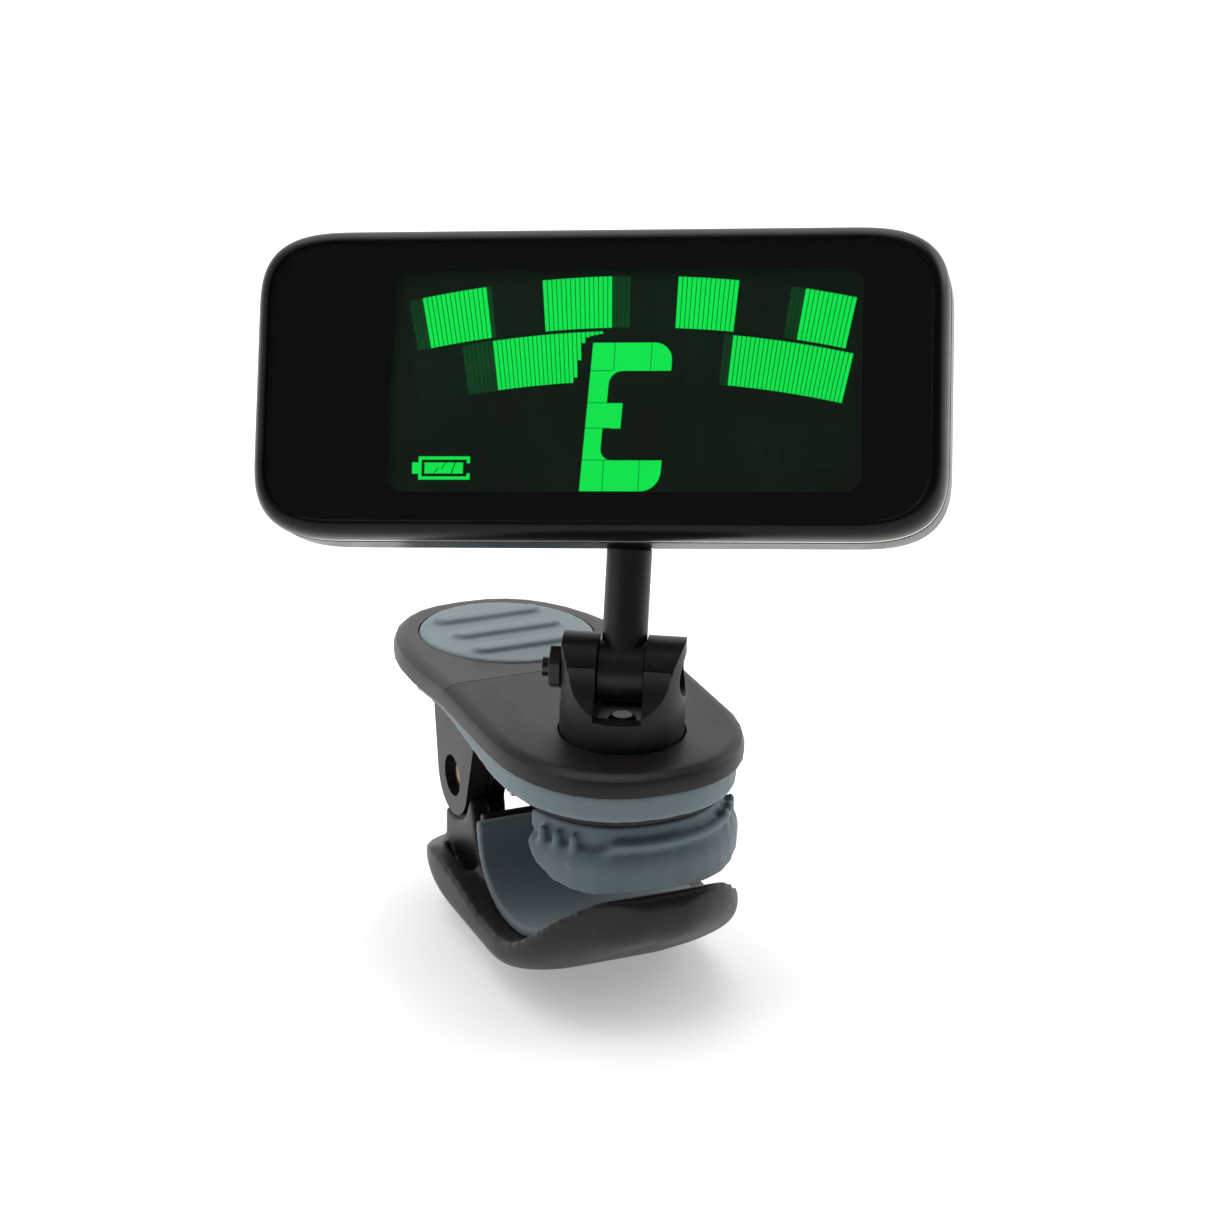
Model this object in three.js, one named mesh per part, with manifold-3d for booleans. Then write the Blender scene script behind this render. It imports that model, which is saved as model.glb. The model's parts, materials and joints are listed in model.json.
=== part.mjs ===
// A clip-on instrument tuner: a display head on a ball joint, a folding neck, a swivel and a spring clip.
// Millimetres, +Z up. X runs across the clip, -Y is the jaw's nose and +Y its thumb end.
// The origin is on the surface that the clip stands on, under the middle of its flat belly.
import * as THREE from "three";
import { mergeVertices } from "three/addons/utils/BufferGeometryUtils.js";
import Module from "manifold-3d";

const wasm = await Module();
wasm.setup();

// ---- clearances ----
const seatGap = 0.1; // between pieces that are fixed to each other
const runningGap = 0.2; // between pieces that turn or slide on each other
const pinGap = 0.05; // round a pin in a bore that it turns in
const past = 1; // how far a cutting tool runs past what it cuts

// ---- clip: heights, plan outline and side view ----
const paddleTop = 28.5;
const swivelY = -13;
const paddle = { halfWidth: 13.2, noseY: swivelY + 4, noseReach: 15.8, tailY: 7, tailReach: 27 };
const jawPlan = { halfWidth: 12.9, noseY: -9, noseReach: 16.3, tailY: 6, tailReach: 12.5 };
const noseSquareness = 2.3;
const tailSquareness = 2.5;
const creaseY = 4; // behind this line the paddle falls towards its thumb end
const tailFall = Math.tan(THREE.MathUtils.degToRad(6));
const shellThickness = 2.35;
const shellEdge = { size: 1.6, depth: 1.3, segments: 3 };
const bumperInset = 0.7;
const bumperWidth = 2.6;
const bumperFront = 3;
const bumperTail = 1.1;
const bumperTaper = [-8, 8];
const coreThickness = 3.85;
const noseFlange = { inset: 2.1, endY: -12 };
const tongue = { halfWidth: 5.5, fromY: -19.5, toY: -16, drop: 2.4 };
const thumbPad = { y: 18.9, halfWidth: 9.3, halfLength: 12, depth: 1, proud: 0.25 };
const thumbRib = { count: 3, pitch: 6, halfLength: 6.3, width: 2.6, height: 0.6 };
const jawPad = { height: 6.85, neckInset: 1.9, bulgeInset: 0.35, bulgeHeight: 4.6 };

// ---- hinge and spring ----
const hinge = { y: 11.2, z: 14.5, pinRadius: 1.2, earRadius: 4.4, lugRadius: 3.9 };
const ear = { inner: 7.1, outer: 9.3, topFrontY: 4, topRearY: 17 };
const lug = { inner: 4.4, outer: 6.7 };
const counterbore = { radius: 2.3, depth: 1 };
const springWire = 1;
const springRadius = 2.9;
const springTurns = 4;
const springHalfWidth = 3.1;

// ---- lower jaw ----
// The jaw's belly and rim in side view, as (y, z) from the nose to the tail.
const jawBelly = [[-25.2, 12.4], [-24.8, 11], [-23.4, 9.3], [-20.5, 7.3], [-16.5, 4.6], [-12.5, 1.9], [-9.7, 0.35],
  [-8, 0], [4, 0], [8, 0.45], [11.5, 1.2], [14.5, 2.2], [16.8, 3.2], [18.2, 4.1]];
const jawRim = [[-25.2, 13.4], [-24.9, 14.4], [-24.2, 15], [-23.2, 14.7], [-22.2, 13.9], [-19.5, 11.3], [-16.4, 8.6],
  [-14.5, 7.2], [-12.5, 6.35], [-10, 5.95], [-5.3, 5.9], [-1, 6.5], [3, 7.1], [7, 7.6], [10, 7.2], [13, 6.1],
  [16, 5.2], [18.2, 4.9]];
const jawSide = { height: 5, squareness: 2.5, flat: 0.15, least: 0.8 };
const jawFloor = 2.2;
const jawWall = 2.1;
const liner = { halfWidth: 10.4, thickness: 1.3 };
const backWall = { thickness: 1.5, top: 13.6 };

// ---- swivel, clevis and neck ----
const swivelAngle = THREE.MathUtils.degToRad(29.5);
const neckLean = THREE.MathUtils.degToRad(20);
const clevis = { radius: 6.4, base: 3, sink: 0.8, slot: 4.9, pocketFloor: 1, pocketLength: 9, topRadius: 3.8 };
const pivotHeight = 6.4;
const barrelRadius = 3.1;
const barrelWidth = 4.6;
const stalkRadius = 2.3;
const neckLength = 17.15;
const spigot = { radius: 0.9, length: 1.8 };
const rivet = { headRadius: 1.5, headHeight: 0.5, radius: 1.1, tailRadius: 2 };
const washer = { radius: 3, thickness: 0.4 };
const pivotScrew = { radius: 1, headRadius: 1.9, headDepth: 1.1, boreRadius: 2.3 };
const nut = { acrossFlats: 4, thickness: 1.2, seat: 0.3 };

// ---- head ----
const head = { halfWidth: 35, halfHeight: 15.7, depth: 13, cornerWidth: 10.5, cornerHeight: 8.5 };
const cornerSquareness = 3.1;
const headTurn = THREE.MathUtils.degToRad(-3.7);
const headTilt = THREE.MathUtils.degToRad(-7.5);
const headRoll = THREE.MathUtils.degToRad(-2.9);
const ball = { x: 2.9, y: 7.8, z: 4.7 - head.halfHeight, radius: 3.1, flat: 2.6 };
const housing = { depth: 3.15, edge: 1.45, wall: 1.3 };
const lens = { inset: 1.55, thickness: 1.1 };
const ledge = { inset: 4, thickness: 0.7 };
const display = { left: -22.2, right: 28, low: -12.8, high: 12.4, thickness: 1.1 };
const displayMargin = 1.2; // the window is this much smaller than the display's glass, all round
const backlightThickness = 0.9;
const trim = { depth: 1, wall: 1.3 };
const rear = { wall: 1.3, edgeSize: 3.2, edgeDepth: 4.2 };
const board = { halfWidth: 27.9, low: -6.2, high: 12.2, thickness: 1, y: 5.3 };
const battery = { left: -26, width: 24, low: -5, height: 16, thickness: 3.4 };
const buttonRow = { z: 3.5, radius: 2.7, proud: 0.9, travel: 0.4, flange: 0.7, stem: 1 };
const buttonX = { power_button: 9, down_button: 17, up_button: 25 };
const socket = { z: 3, halfWidth: 4.4, thickness: 3.1, length: 7.2, wall: 0.35 };
const cup = { halfWidth: 4.7, top: ball.z + 4.4, front: 4.35, rear: 11.5, mouth: 3.9, throat: 1.85 };
const screwAt = { x: 30.2, z: 10.9 };
const screw = { radius: 0.9, headRadius: 1.7, headDepth: 1.2, length: 7.4, bossRadius: 1.9 };
const piezo = { x: -14, z: 3.5, radius: 6, thickness: 0.4 };

// ---- finishes ----
const finish = (color, roughness, metalness = 0) => ({ color, roughness, metalness });
const finishes = {
  blackPlastic: finish(0x262327, 0.45),
  glossBlack: finish(0x0b0b0d, 0.12),
  clearLens: finish(0x050607, 0.08),
  display: finish(0x03140a, 0.2),
  lightGuide: finish(0xdfe8df, 0.4),
  greyRubber: finish(0x7f8c93, 0.75),
  darkRubber: finish(0x4c555c, 0.75),
  steel: finish(0xa9adb0, 0.3, 1),
  blackSteel: finish(0x2b2b2e, 0.35, 1),
  brass: finish(0xb08a4a, 0.35, 1),
  champagne: finish(0xe6dcd0, 0.25, 1),
  board: finish(0x14532d, 0.5),
  foil: finish(0x9fa6ad, 0.4, 0.6),
  cupPlastic: finish(0xcfcabf, 0.5),
};

// ---- solids: geometry to manifold and back ----
function solid(geometry) {
  const plain = geometry.clone();
  plain.deleteAttribute("normal");
  plain.deleteAttribute("uv");
  const merged = mergeVertices(plain, 1e-5);
  const { position } = merged.attributes;
  const mesh = new wasm.Mesh({
    numProp: 3,
    vertProperties: new Float32Array(position.array),
    triVerts: new Uint32Array(merged.index.array),
  });
  mesh.merge();
  return new wasm.Manifold(mesh);
}

function geometryOf(manifold) {
  const { vertProperties, triVerts, numProp } = manifold.getMesh();
  const positions = new Float32Array((vertProperties.length / numProp) * 3);
  for (let i = 0; i < positions.length / 3; i += 1) {
    positions.set(vertProperties.slice(i * numProp, i * numProp + 3), i * 3);
  }
  const geometry = new THREE.BufferGeometry();
  geometry.setAttribute("position", new THREE.BufferAttribute(positions, 3));
  geometry.setIndex([...triVerts]);
  geometry.computeVertexNormals();
  return geometry;
}

const join = (...parts) => parts.reduce((a, b) => a.add(b));
const cut = (part, ...tools) => tools.reduce((a, b) => a.subtract(b), part);

// ---- outlines ----
const shapeOf = (points) => new THREE.Shape(points.map(([x, y]) => new THREE.Vector2(x, y)));
const rectangle = (x0, y0, x1, y1) => shapeOf([[x0, y0], [x1, y0], [x1, y1], [x0, y1]]);
const power = (value, n) => Math.sign(value) * Math.abs(value) ** (2 / n);

// One quarter of a superellipse, from angle `start` on, without its last point.
function superQuarter(cx, cy, a, b, n, start, steps) {
  return Array.from({ length: steps }, (_, i) => {
    const t = start + (i / steps) * (Math.PI / 2);
    return [cx + a * power(Math.cos(t), n), cy + b * power(Math.sin(t), n)];
  });
}

// The clip's plan: straight sides, a broad nose and a rounder tail, moved in by `inset`.
function clipOutline(plan, inset = 0, steps = 9) {
  const a = plan.halfWidth - inset;
  const quarter = (y, reach, n, start) => superQuarter(0, y, a, reach - inset, n, start, steps);
  return shapeOf([
    ...quarter(plan.tailY, plan.tailReach, tailSquareness, 0),
    ...quarter(plan.tailY, plan.tailReach, tailSquareness, Math.PI / 2),
    ...quarter(plan.noseY, plan.noseReach, noseSquareness, Math.PI),
    ...quarter(plan.noseY, plan.noseReach, noseSquareness, 1.5 * Math.PI),
  ]);
}

// The head's face: a rectangle with soft superelliptic corners, moved in by `inset`.
function headOutline(inset = 0, steps = 6) {
  const w = head.halfWidth - inset;
  const h = head.halfHeight - inset;
  const a = Math.max(head.cornerWidth - inset, 1);
  const b = Math.max(head.cornerHeight - inset, 1);
  const corner = (sx, sy, start) =>
    superQuarter(sx * (w - a), sy * (h - b), a, b, cornerSquareness, start, steps);
  const last = (sx, sy, start) => {
    const t = start + Math.PI / 2;
    return [sx * (w - a) + a * power(Math.cos(t), cornerSquareness),
      sy * (h - b) + b * power(Math.sin(t), cornerSquareness)];
  };
  const corners = [[1, 1, 0], [-1, 1, Math.PI / 2], [-1, -1, Math.PI], [1, -1, 1.5 * Math.PI]];
  return shapeOf(corners.flatMap((c) => [...corner(...c), last(...c)]));
}

function circlePoints(cx, cy, radius, from, to, steps) {
  return Array.from({ length: steps + 1 }, (_, i) => {
    const t = THREE.MathUtils.degToRad(from + ((to - from) * i) / steps);
    return [cx + radius * Math.cos(t), cy + radius * Math.sin(t)];
  });
}

// ---- extrusions along each axis ----
// Each basis turns a drawn shape's x, y and its extrusion into the part's axes, without mirroring it.
const bases = {
  z: [new THREE.Vector3(1, 0, 0), new THREE.Vector3(0, 1, 0), new THREE.Vector3(0, 0, 1)],
  x: [new THREE.Vector3(0, 1, 0), new THREE.Vector3(0, 0, 1), new THREE.Vector3(1, 0, 0)],
  y: [new THREE.Vector3(1, 0, 0), new THREE.Vector3(0, 0, 1), new THREE.Vector3(0, -1, 0)],
};

// A prism of `shape` between two stations on `axis`: (x, y) shapes along z, (y, z) along x, (x, z) along y.
// An `edge` rounds the end at `to` on z and x, and the end at `from`, which is the front, on y.
function prism(axis, shape, from, to, edge = null) {
  const depth = to - from;
  const options = edge
    ? { depth: depth - edge.depth, bevelEnabled: true, bevelSize: edge.size, bevelOffset: -edge.size,
        bevelThickness: edge.depth, bevelSegments: edge.segments, curveSegments: 16 }
    : { depth, bevelEnabled: false, curveSegments: 16 };
  const geometry = new THREE.ExtrudeGeometry(shape, options);
  geometry.applyMatrix4(new THREE.Matrix4().makeBasis(...bases[axis]));
  const start = new THREE.Vector3(...{ z: [0, 0, from], x: [from, 0, 0], y: [0, to, 0] }[axis]);
  geometry.translate(start.x, start.y, start.z);
  const body = solid(geometry);
  if (!edge) return body;
  const normal = { z: [0, 0, 1], x: [1, 0, 0], y: [0, -1, 0] }[axis];
  return body.trimByPlane(normal, axis === "y" ? -to : from);
}

// A round bar between two stations on an axis, with its centre at the other two coordinates.
function bar(axis, [u, v], radius, from, to, sides = 24, endRadius = radius) {
  const geometry = new THREE.CylinderGeometry(endRadius, radius, to - from, sides);
  if (axis === "x") geometry.rotateZ(-Math.PI / 2).translate((from + to) / 2, u, v);
  if (axis === "y") geometry.translate(u, (from + to) / 2, v);
  if (axis === "z") geometry.rotateX(Math.PI / 2).translate(u, v, (from + to) / 2);
  return solid(geometry);
}

function block([x0, y0, z0], [x1, y1, z1]) {
  const geometry = new THREE.BoxGeometry(x1 - x0, y1 - y0, z1 - z0);
  return solid(geometry.translate((x0 + x1) / 2, (y0 + y1) / 2, (z0 + z1) / 2));
}

const sphere = ([x, y, z], radius) => solid(new THREE.SphereGeometry(radius, 24, 16).translate(x, y, z));

// ---- the paddle's fall towards its thumb end ----
function sheared(part) {
  return part.transform([1, 0, 0, 0, 0, 1, -tailFall, 0, 0, 0, 1, 0, 0, 0, tailFall * creaseY, 1]);
}

function drooped(part) {
  const overlap = 0.02;
  const front = part.trimByPlane([0, -1, 0], -creaseY);
  const tail = part.trimByPlane([0, 1, 0], creaseY - overlap);
  return join(front, sheared(tail));
}

// ---- building the scene graph ----
const root = new THREE.Group();
const swivel = new THREE.Group();
swivel.position.set(0, swivelY, paddleTop);
swivel.rotation.z = -swivelAngle;
const neck = new THREE.Group();
neck.position.z = pivotHeight;
neck.rotation.x = -neckLean;
const headMount = new THREE.Group();
headMount.position.z = neckLength;
headMount.rotation.set(headTilt, headRoll, headTurn, "ZXY");
const headGroup = new THREE.Group();
headGroup.position.set(-ball.x, -ball.y, -ball.z);
root.add(swivel);
swivel.add(neck);
neck.add(headMount);
headMount.add(headGroup);

function add(group, name, part, look) {
  const mesh = new THREE.Mesh(geometryOf(part), new THREE.MeshStandardMaterial(look));
  mesh.name = name;
  group.add(mesh);
}

// ---- upper clip ----
const shellBottom = paddleTop - shellThickness;
const underShell = shellBottom - seatGap;
const coreBottom = underShell - coreThickness;

const padEllipse = (grow) =>
  shapeOf([0, 1, 2, 3].flatMap((q) =>
    superQuarter(0, thumbPad.y, thumbPad.halfWidth + grow, thumbPad.halfLength + grow, 2, (q * Math.PI) / 2, 7)));

function paddleShell() {
  const slab = drooped(prism("z", clipOutline(paddle), shellBottom, paddleTop, shellEdge));
  const recess = bar("z", [0, swivelY], clevis.radius + runningGap, paddleTop - clevis.sink - runningGap,
    paddleTop + past, 40);
  const rivetHole = bar("z", [0, swivelY], rivet.radius + runningGap, shellBottom - past, paddleTop + past);
  const pocket = prism("z", padEllipse(seatGap), paddleTop - thumbPad.depth - seatGap, paddleTop + past);
  return cut(slab, recess, rivetHole, sheared(pocket));
}

function thumbPadSolid() {
  const top = paddleTop + thumbPad.proud;
  const edge = { size: 0.5, depth: 0.3, segments: 2 };
  const base = prism("z", padEllipse(0), paddleTop - thumbPad.depth, top, edge);
  const middle = (thumbRib.count - 1) / 2;
  const ribs = Array.from({ length: thumbRib.count }, (_, i) => {
    const y = thumbPad.y + (i - middle) * thumbRib.pitch;
    const r = thumbRib.width / 2;
    const outline = shapeOf([
      ...circlePoints(thumbRib.halfLength - r, y, r, -90, 90, 6),
      ...circlePoints(r - thumbRib.halfLength, y, r, 90, 270, 6),
    ]);
    return prism("z", outline, paddleTop - thumbPad.depth / 2, top + thumbRib.height, edge);
  });
  return sheared(join(base, ...ribs));
}

function rimBumper() {
  const [front, back] = bumperTaper;
  const nose = paddle.noseY - paddle.noseReach - past;
  const tail = paddle.tailY + paddle.tailReach + past;
  const side = shapeOf([
    [nose, underShell - bumperFront], [front, underShell - bumperFront],
    [back, underShell - bumperTail], [tail, underShell - bumperTail], [tail, underShell], [nose, underShell],
  ]);
  const outer = prism("z", clipOutline(paddle, bumperInset), underShell - bumperFront, underShell);
  const inner = prism("z", clipOutline(paddle, bumperInset + bumperWidth), coreBottom, paddleTop);
  const span = paddle.halfWidth;
  return drooped(cut(outer.intersect(prism("x", side, -span, span)), inner));
}

function earProfile() {
  const rootZ = (y) => coreBottom + coreThickness / 3 - tailFall * (y - creaseY);
  const sweep = circlePoints(hinge.y, hinge.z, hinge.earRadius, 192, 348, 16);
  return shapeOf([[ear.topFrontY, rootZ(ear.topFrontY)], ...sweep, [ear.topRearY, rootZ(ear.topRearY)]]);
}

function leverCore() {
  const inset = bumperInset + bumperWidth + seatGap;
  const plate = drooped(prism("z", clipOutline(paddle, inset), coreBottom, underShell));
  const flangeTop = underShell - bumperFront - seatGap;
  const flange = prism("z", clipOutline(paddle, noseFlange.inset), coreBottom, flangeTop)
    .trimByPlane([0, -1, 0], -noseFlange.endY);
  const grip = block([-tongue.halfWidth, tongue.fromY, coreBottom - tongue.drop],
    [tongue.halfWidth, tongue.toY, (coreBottom + flangeTop) / 2]);
  const profile = earProfile();
  const ears = [-1, 1].map((side) => prism("x", profile, ...[side * ear.inner, side * ear.outer].sort((a, b) => a - b)));
  const bore = bar("x", [hinge.y, hinge.z], hinge.pinRadius + pinGap, -ear.outer - past, ear.outer + past);
  const recesses = [-1, 1].map((side) => {
    const stations = [side * (ear.outer - counterbore.depth), side * (ear.outer + past)].sort((a, b) => a - b);
    return bar("x", [hinge.y, hinge.z], counterbore.radius, ...stations);
  });
  const washerPocket = bar("z", [0, swivelY], washer.radius + seatGap * 2, underShell - 1.7, underShell + past);
  return cut(join(plate, flange, grip, ...ears), bore, ...recesses, washerPocket);
}

function jawPadSolid() {
  const top = coreBottom - seatGap;
  const low = top - jawPad.height;
  const curve = new THREE.SplineCurve([[-14.6, low + 5], [-16.6, low + 3], [-18.8, low + 1.2], [-21, low + 0.3],
    [-23, low], [-24.3, low + 0.3], [-25, low + 1.3]].map(([y, z]) => new THREE.Vector2(y, z)));
  const side = shapeOf([[-14.6, top], ...curve.getPoints(24).map((p) => [p.x, p.y]), [-25.2, top]]);
  const softTop = { size: jawPad.neckInset - jawPad.bulgeInset, depth: 2.2, segments: 5 };
  const bulge = prism("z", clipOutline(paddle, jawPad.bulgeInset), low - past, low + jawPad.bulgeHeight, softTop);
  const stem = prism("z", clipOutline(paddle, jawPad.neckInset), low - past, top);
  const body = join(bulge, stem).intersect(prism("x", side, -paddle.halfWidth, paddle.halfWidth));
  const pocket = block([-tongue.halfWidth - seatGap, tongue.fromY - seatGap, coreBottom - tongue.drop - seatGap],
    [tongue.halfWidth + seatGap, tongue.toY + seatGap, top + past]);
  return cut(body, pocket);
}

add(root, "paddle_shell", paddleShell(), finishes.blackPlastic);
add(root, "thumb_pad", thumbPadSolid(), finishes.greyRubber);
add(root, "rim_bumper", rimBumper(), finishes.greyRubber);
add(root, "lever_core", leverCore(), finishes.blackPlastic);
add(root, "jaw_pad", jawPadSolid(), finishes.darkRubber);
const pinEnd = ear.outer - counterbore.depth + seatGap * 2;
add(root, "hinge_pin", bar("x", [hinge.y, hinge.z], hinge.pinRadius, -pinEnd, pinEnd), finishes.brass);

// ---- lower jaw ----
// The throat's floor, from the nose down into the valley and up the back wall, as (y, z).
const throat = new THREE.CatmullRomCurve3([[-20.8, 12.3], [-18.4, 10.5], [-15, 8.5], [-10.5, 7.2], [-5.5, 7],
  [-1.6, 8.8], [0.1, 11.7], [0.3, backWall.top]].map(([y, z]) => new THREE.Vector3(y, z, 0)));
const throatPoints = throat.getPoints(22).map((p) => [p.x, p.y]);

// The throat's floor moved down and back by `offset`, along its own normals.
function throatOffset(offset) {
  return throatPoints.map(([y, z], i) => {
    const a = throatPoints[Math.max(i - 1, 0)];
    const b = throatPoints[Math.min(i + 1, throatPoints.length - 1)];
    const length = Math.hypot(b[0] - a[0], b[1] - a[1]);
    return [y - (-(b[1] - a[1]) / length) * offset, z - ((b[0] - a[0]) / length) * offset];
  });
}

// A function of y that follows a smooth curve through (y, z) points.
function heightAlong(points) {
  const curve = new THREE.SplineCurve(points.map(([y, z]) => new THREE.Vector2(y, z))).getPoints(120);
  return (y) => {
    const next = Math.max(1, curve.findIndex((p) => p.x > y));
    const [a, b] = y >= curve.at(-1).x ? curve.slice(-2) : [curve[next - 1], curve[next]];
    return a.y + ((b.y - a.y) * (y - a.x)) / (b.x - a.x);
  };
}

// How far the clip's plan reaches to each side at one y.
function planWidth(plan, y) {
  const tail = y > plan.tailY;
  const out = tail ? (y - plan.tailY) / plan.tailReach : Math.max(plan.noseY - y, 0) / plan.noseReach;
  const n = tail ? tailSquareness : noseSquareness;
  return plan.halfWidth * Math.max(1 - out ** n, 1e-4) ** (1 / n);
}

// Skins sections along y. Each is flat on top, upright at its sides and rounded below, like a boat's hull.
function boat(sections) {
  const steps = 20;
  const rings = sections.map(({ y, halfWidth, low, high, side }) => {
    const below = Array.from({ length: steps + 1 }, (_, i) => {
      const t = (i / steps) * Math.PI;
      const rise = side * (1 - power(Math.sin(t), jawSide.squareness));
      return [halfWidth * power(Math.cos(t), jawSide.squareness), low + Math.max(rise - jawSide.flat, 0)];
    });
    return [[halfWidth, high], ...below, [-halfWidth, high]].map(([x, z]) => [x, y, z]);
  });
  const count = rings[0].length;
  const triangles = [];
  for (let j = 1; j < count - 1; j += 1) {
    triangles.push(rings[0][0], rings[0][j + 1], rings[0][j]);
    triangles.push(rings.at(-1)[0], rings.at(-1)[j], rings.at(-1)[j + 1]);
  }
  rings.slice(1).forEach((b, i) => {
    const a = rings[i];
    for (let j = 0; j < count; j += 1) {
      const k = (j + 1) % count;
      triangles.push(a[j], a[k], b[j], a[k], b[k], b[j]);
    }
  });
  const geometry = new THREE.BufferGeometry();
  geometry.setAttribute("position", new THREE.Float32BufferAttribute(triangles.flat(), 3));
  return solid(geometry);
}

// The jaw's outside, or with `wall` the space inside that leaves walls and a floor.
function jawHull(from, to, count, wall = 0, floor = 0) {
  const belly = heightAlong(jawBelly);
  const rim = heightAlong(jawRim);
  const sections = Array.from({ length: count }, (_, i) => {
    const y = from + ((to - from) * (1 - Math.cos((i / (count - 1)) * Math.PI))) / 2;
    const low = Math.max(belly(y), 0);
    const high = rim(y);
    const side = Math.min(jawSide.height, high - low - jawSide.least);
    return { y, halfWidth: planWidth(jawPlan, y) - wall, low: low + floor, high: floor ? 20 : high, side };
  });
  return boat(sections);
}

function lowerJaw() {
  const pocketEdge = throatOffset(liner.thickness + seatGap);
  const throatCut = shapeOf([...pocketEdge, [0, 20], [pocketEdge[0][0], 20]]);
  const throatTool = prism("x", throatCut, -liner.halfWidth - seatGap, liner.halfWidth + seatGap)
    .intersect(linerPlan(-seatGap));
  const wallY = pocketEdge.at(-1)[0];
  const wallBack = wallY + backWall.thickness;
  const nose = jawBelly[0][0];
  const tail = jawBelly.at(-1)[0];
  const dishTool = jawHull(wallBack, tail - jawWall, 12, jawWall, jawFloor);
  const low = jawFloor - past / 2;
  const wall = block([-ear.outer, wallY - past, low], [ear.outer, wallBack, backWall.top]);
  const cradle = hinge.earRadius + runningGap * 2;
  const rearY = hinge.y + 2.3;
  const upright = shapeOf([
    [rearY, low], [rearY, hinge.z - 4.9], ...circlePoints(hinge.y, hinge.z, cradle, 292, 188, 12),
    [5.2, 12.9], [3.3, 6.6], [wallBack - past / 2, 6.6], [wallBack - past / 2, low],
  ]);
  const lugShape = shapeOf([
    [hinge.y - 5, low], [hinge.y + 3.6, low],
    ...circlePoints(hinge.y, hinge.z, hinge.lugRadius, -20, 205, 16),
  ]);
  const bridge = block([-ear.outer, 4, low], [ear.outer, rearY, jawFloor + 1.3]);
  const pair = (shape, inner, outer) => [prism("x", shape, -outer, -inner), prism("x", shape, inner, outer)];
  const bore = bar("x", [hinge.y, hinge.z], hinge.pinRadius + pinGap * 2, -lug.outer - past, lug.outer + past);
  const body = cut(jawHull(nose, tail, 36), throatTool, dishTool);
  const fittings = join(wall, bridge, ...pair(upright, ear.inner, ear.outer), ...pair(lugShape, lug.inner, lug.outer));
  return cut(join(body, cut(fittings, throatTool)), bore);
}

const linerPlan = (gap) => prism("z", clipOutline(jawPlan, jawPlan.halfWidth - liner.halfWidth + gap), 0, 20);

function jawLiner() {
  const back = throatOffset(liner.thickness).reverse();
  return prism("x", shapeOf([...throatPoints, ...back].reverse()), -liner.halfWidth, liner.halfWidth)
    .intersect(linerPlan(0));
}

// A close-wound wire round the pin, with one leg under the lever's core and one on the jaw's floor.
class SpringPath extends THREE.Curve {
  constructor() {
    super();
    const start = THREE.MathUtils.degToRad(100);
    const end = start + springTurns * 2 * Math.PI + THREE.MathUtils.degToRad(110);
    const coil = Array.from({ length: 66 }, (_, i) => {
      const t = i / 65;
      const angle = start + (end - start) * t;
      const x = springHalfWidth * (2 * t - 1);
      return new THREE.Vector3(x, hinge.y + springRadius * Math.cos(angle), hinge.z + springRadius * Math.sin(angle));
    });
    const upper = new THREE.Vector3(-springHalfWidth, 20, coreBottom - tailFall * 16 - springWire);
    const lower = new THREE.Vector3(springHalfWidth, 5.2, jawFloor + 2.5 + springWire / 2);
    this.curve = new THREE.CatmullRomCurve3([upper, ...coil, lower], false, "centripetal");
  }

  getPoint(t, target) {
    return this.curve.getPoint(t, target);
  }
}

function torsionSpring() {
  const section = shapeOf(circlePoints(0, 0, springWire / 2, 0, 315, 7));
  const options = { steps: 100, extrudePath: new SpringPath(), bevelEnabled: false };
  return solid(new THREE.ExtrudeGeometry(section, options));
}

add(root, "lower_jaw", lowerJaw(), finishes.blackPlastic);
add(root, "jaw_liner", jawLiner(), finishes.darkRubber);
add(root, "torsion_spring", torsionSpring(), finishes.steel);

// ---- swivel: heights from the paddle's top, X along the neck's pin ----
function swivelClevis() {
  const r = clevis.radius;
  const t = clevis.topRadius;
  const flank = 5.2; // radius of the dished cut on each side of the ears
  const dishAt = (side) => circlePoints(side * (t + flank), pivotHeight + 1.6, flank, side > 0 ? 222 : -42,
    side > 0 ? 180 : 0, 7);
  const left = dishAt(-1);
  const right = dishAt(1);
  const side = shapeOf([
    [-r, -clevis.sink], [r, -clevis.sink], [r, clevis.base], ...right,
    ...circlePoints(0, pivotHeight, t, 15, 165, 10), ...left.reverse(), [-r, clevis.base],
  ]);
  const body = bar("z", [0, 0], r, -clevis.sink, pivotHeight + t + past, 40)
    .intersect(prism("x", side, -r, r));
  const half = clevis.slot / 2;
  const slot = block([-half, -r - past, clevis.base], [half, r + past, pivotHeight + t + past]);
  const pocket = block([-half, -clevis.pocketLength / 2, clevis.pocketFloor],
    [half, clevis.pocketLength / 2, clevis.base + past]);
  const rivetHole = bar("z", [0, 0], rivet.radius + seatGap, -clevis.sink - past, clevis.base);
  const bore = bar("x", [0, pivotHeight], pivotScrew.radius + seatGap, -r - past, r + past);
  const headBore = bar("x", [0, pivotHeight], pivotScrew.boreRadius, r - pivotScrew.headDepth - 0.9, r + past);
  const nutSeat = block([-r - past, -t - past, clevis.base], [-r + nut.seat, t + past, pivotHeight + t + past]);
  return cut(body, slot, pocket, rivetHole, bore, headBore, nutSeat);
}

function pivotScrewSolid() {
  const seat = clevis.radius - pivotScrew.headDepth - 0.9;
  const shankEnd = -clevis.radius - 1.8;
  const shank = bar("x", [0, pivotHeight], pivotScrew.radius, shankEnd, seat + past / 2);
  const top = bar("x", [0, pivotHeight], pivotScrew.headRadius, seat + seatGap, seat + pivotScrew.headDepth);
  const arm = 0.22;
  const slots = [[1.2, arm], [arm, 1.2]].map(([y, z]) =>
    block([seat + 0.6, -y, pivotHeight - z], [seat + past * 2, y, pivotHeight + z]));
  return cut(join(shank, top), ...slots);
}

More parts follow.
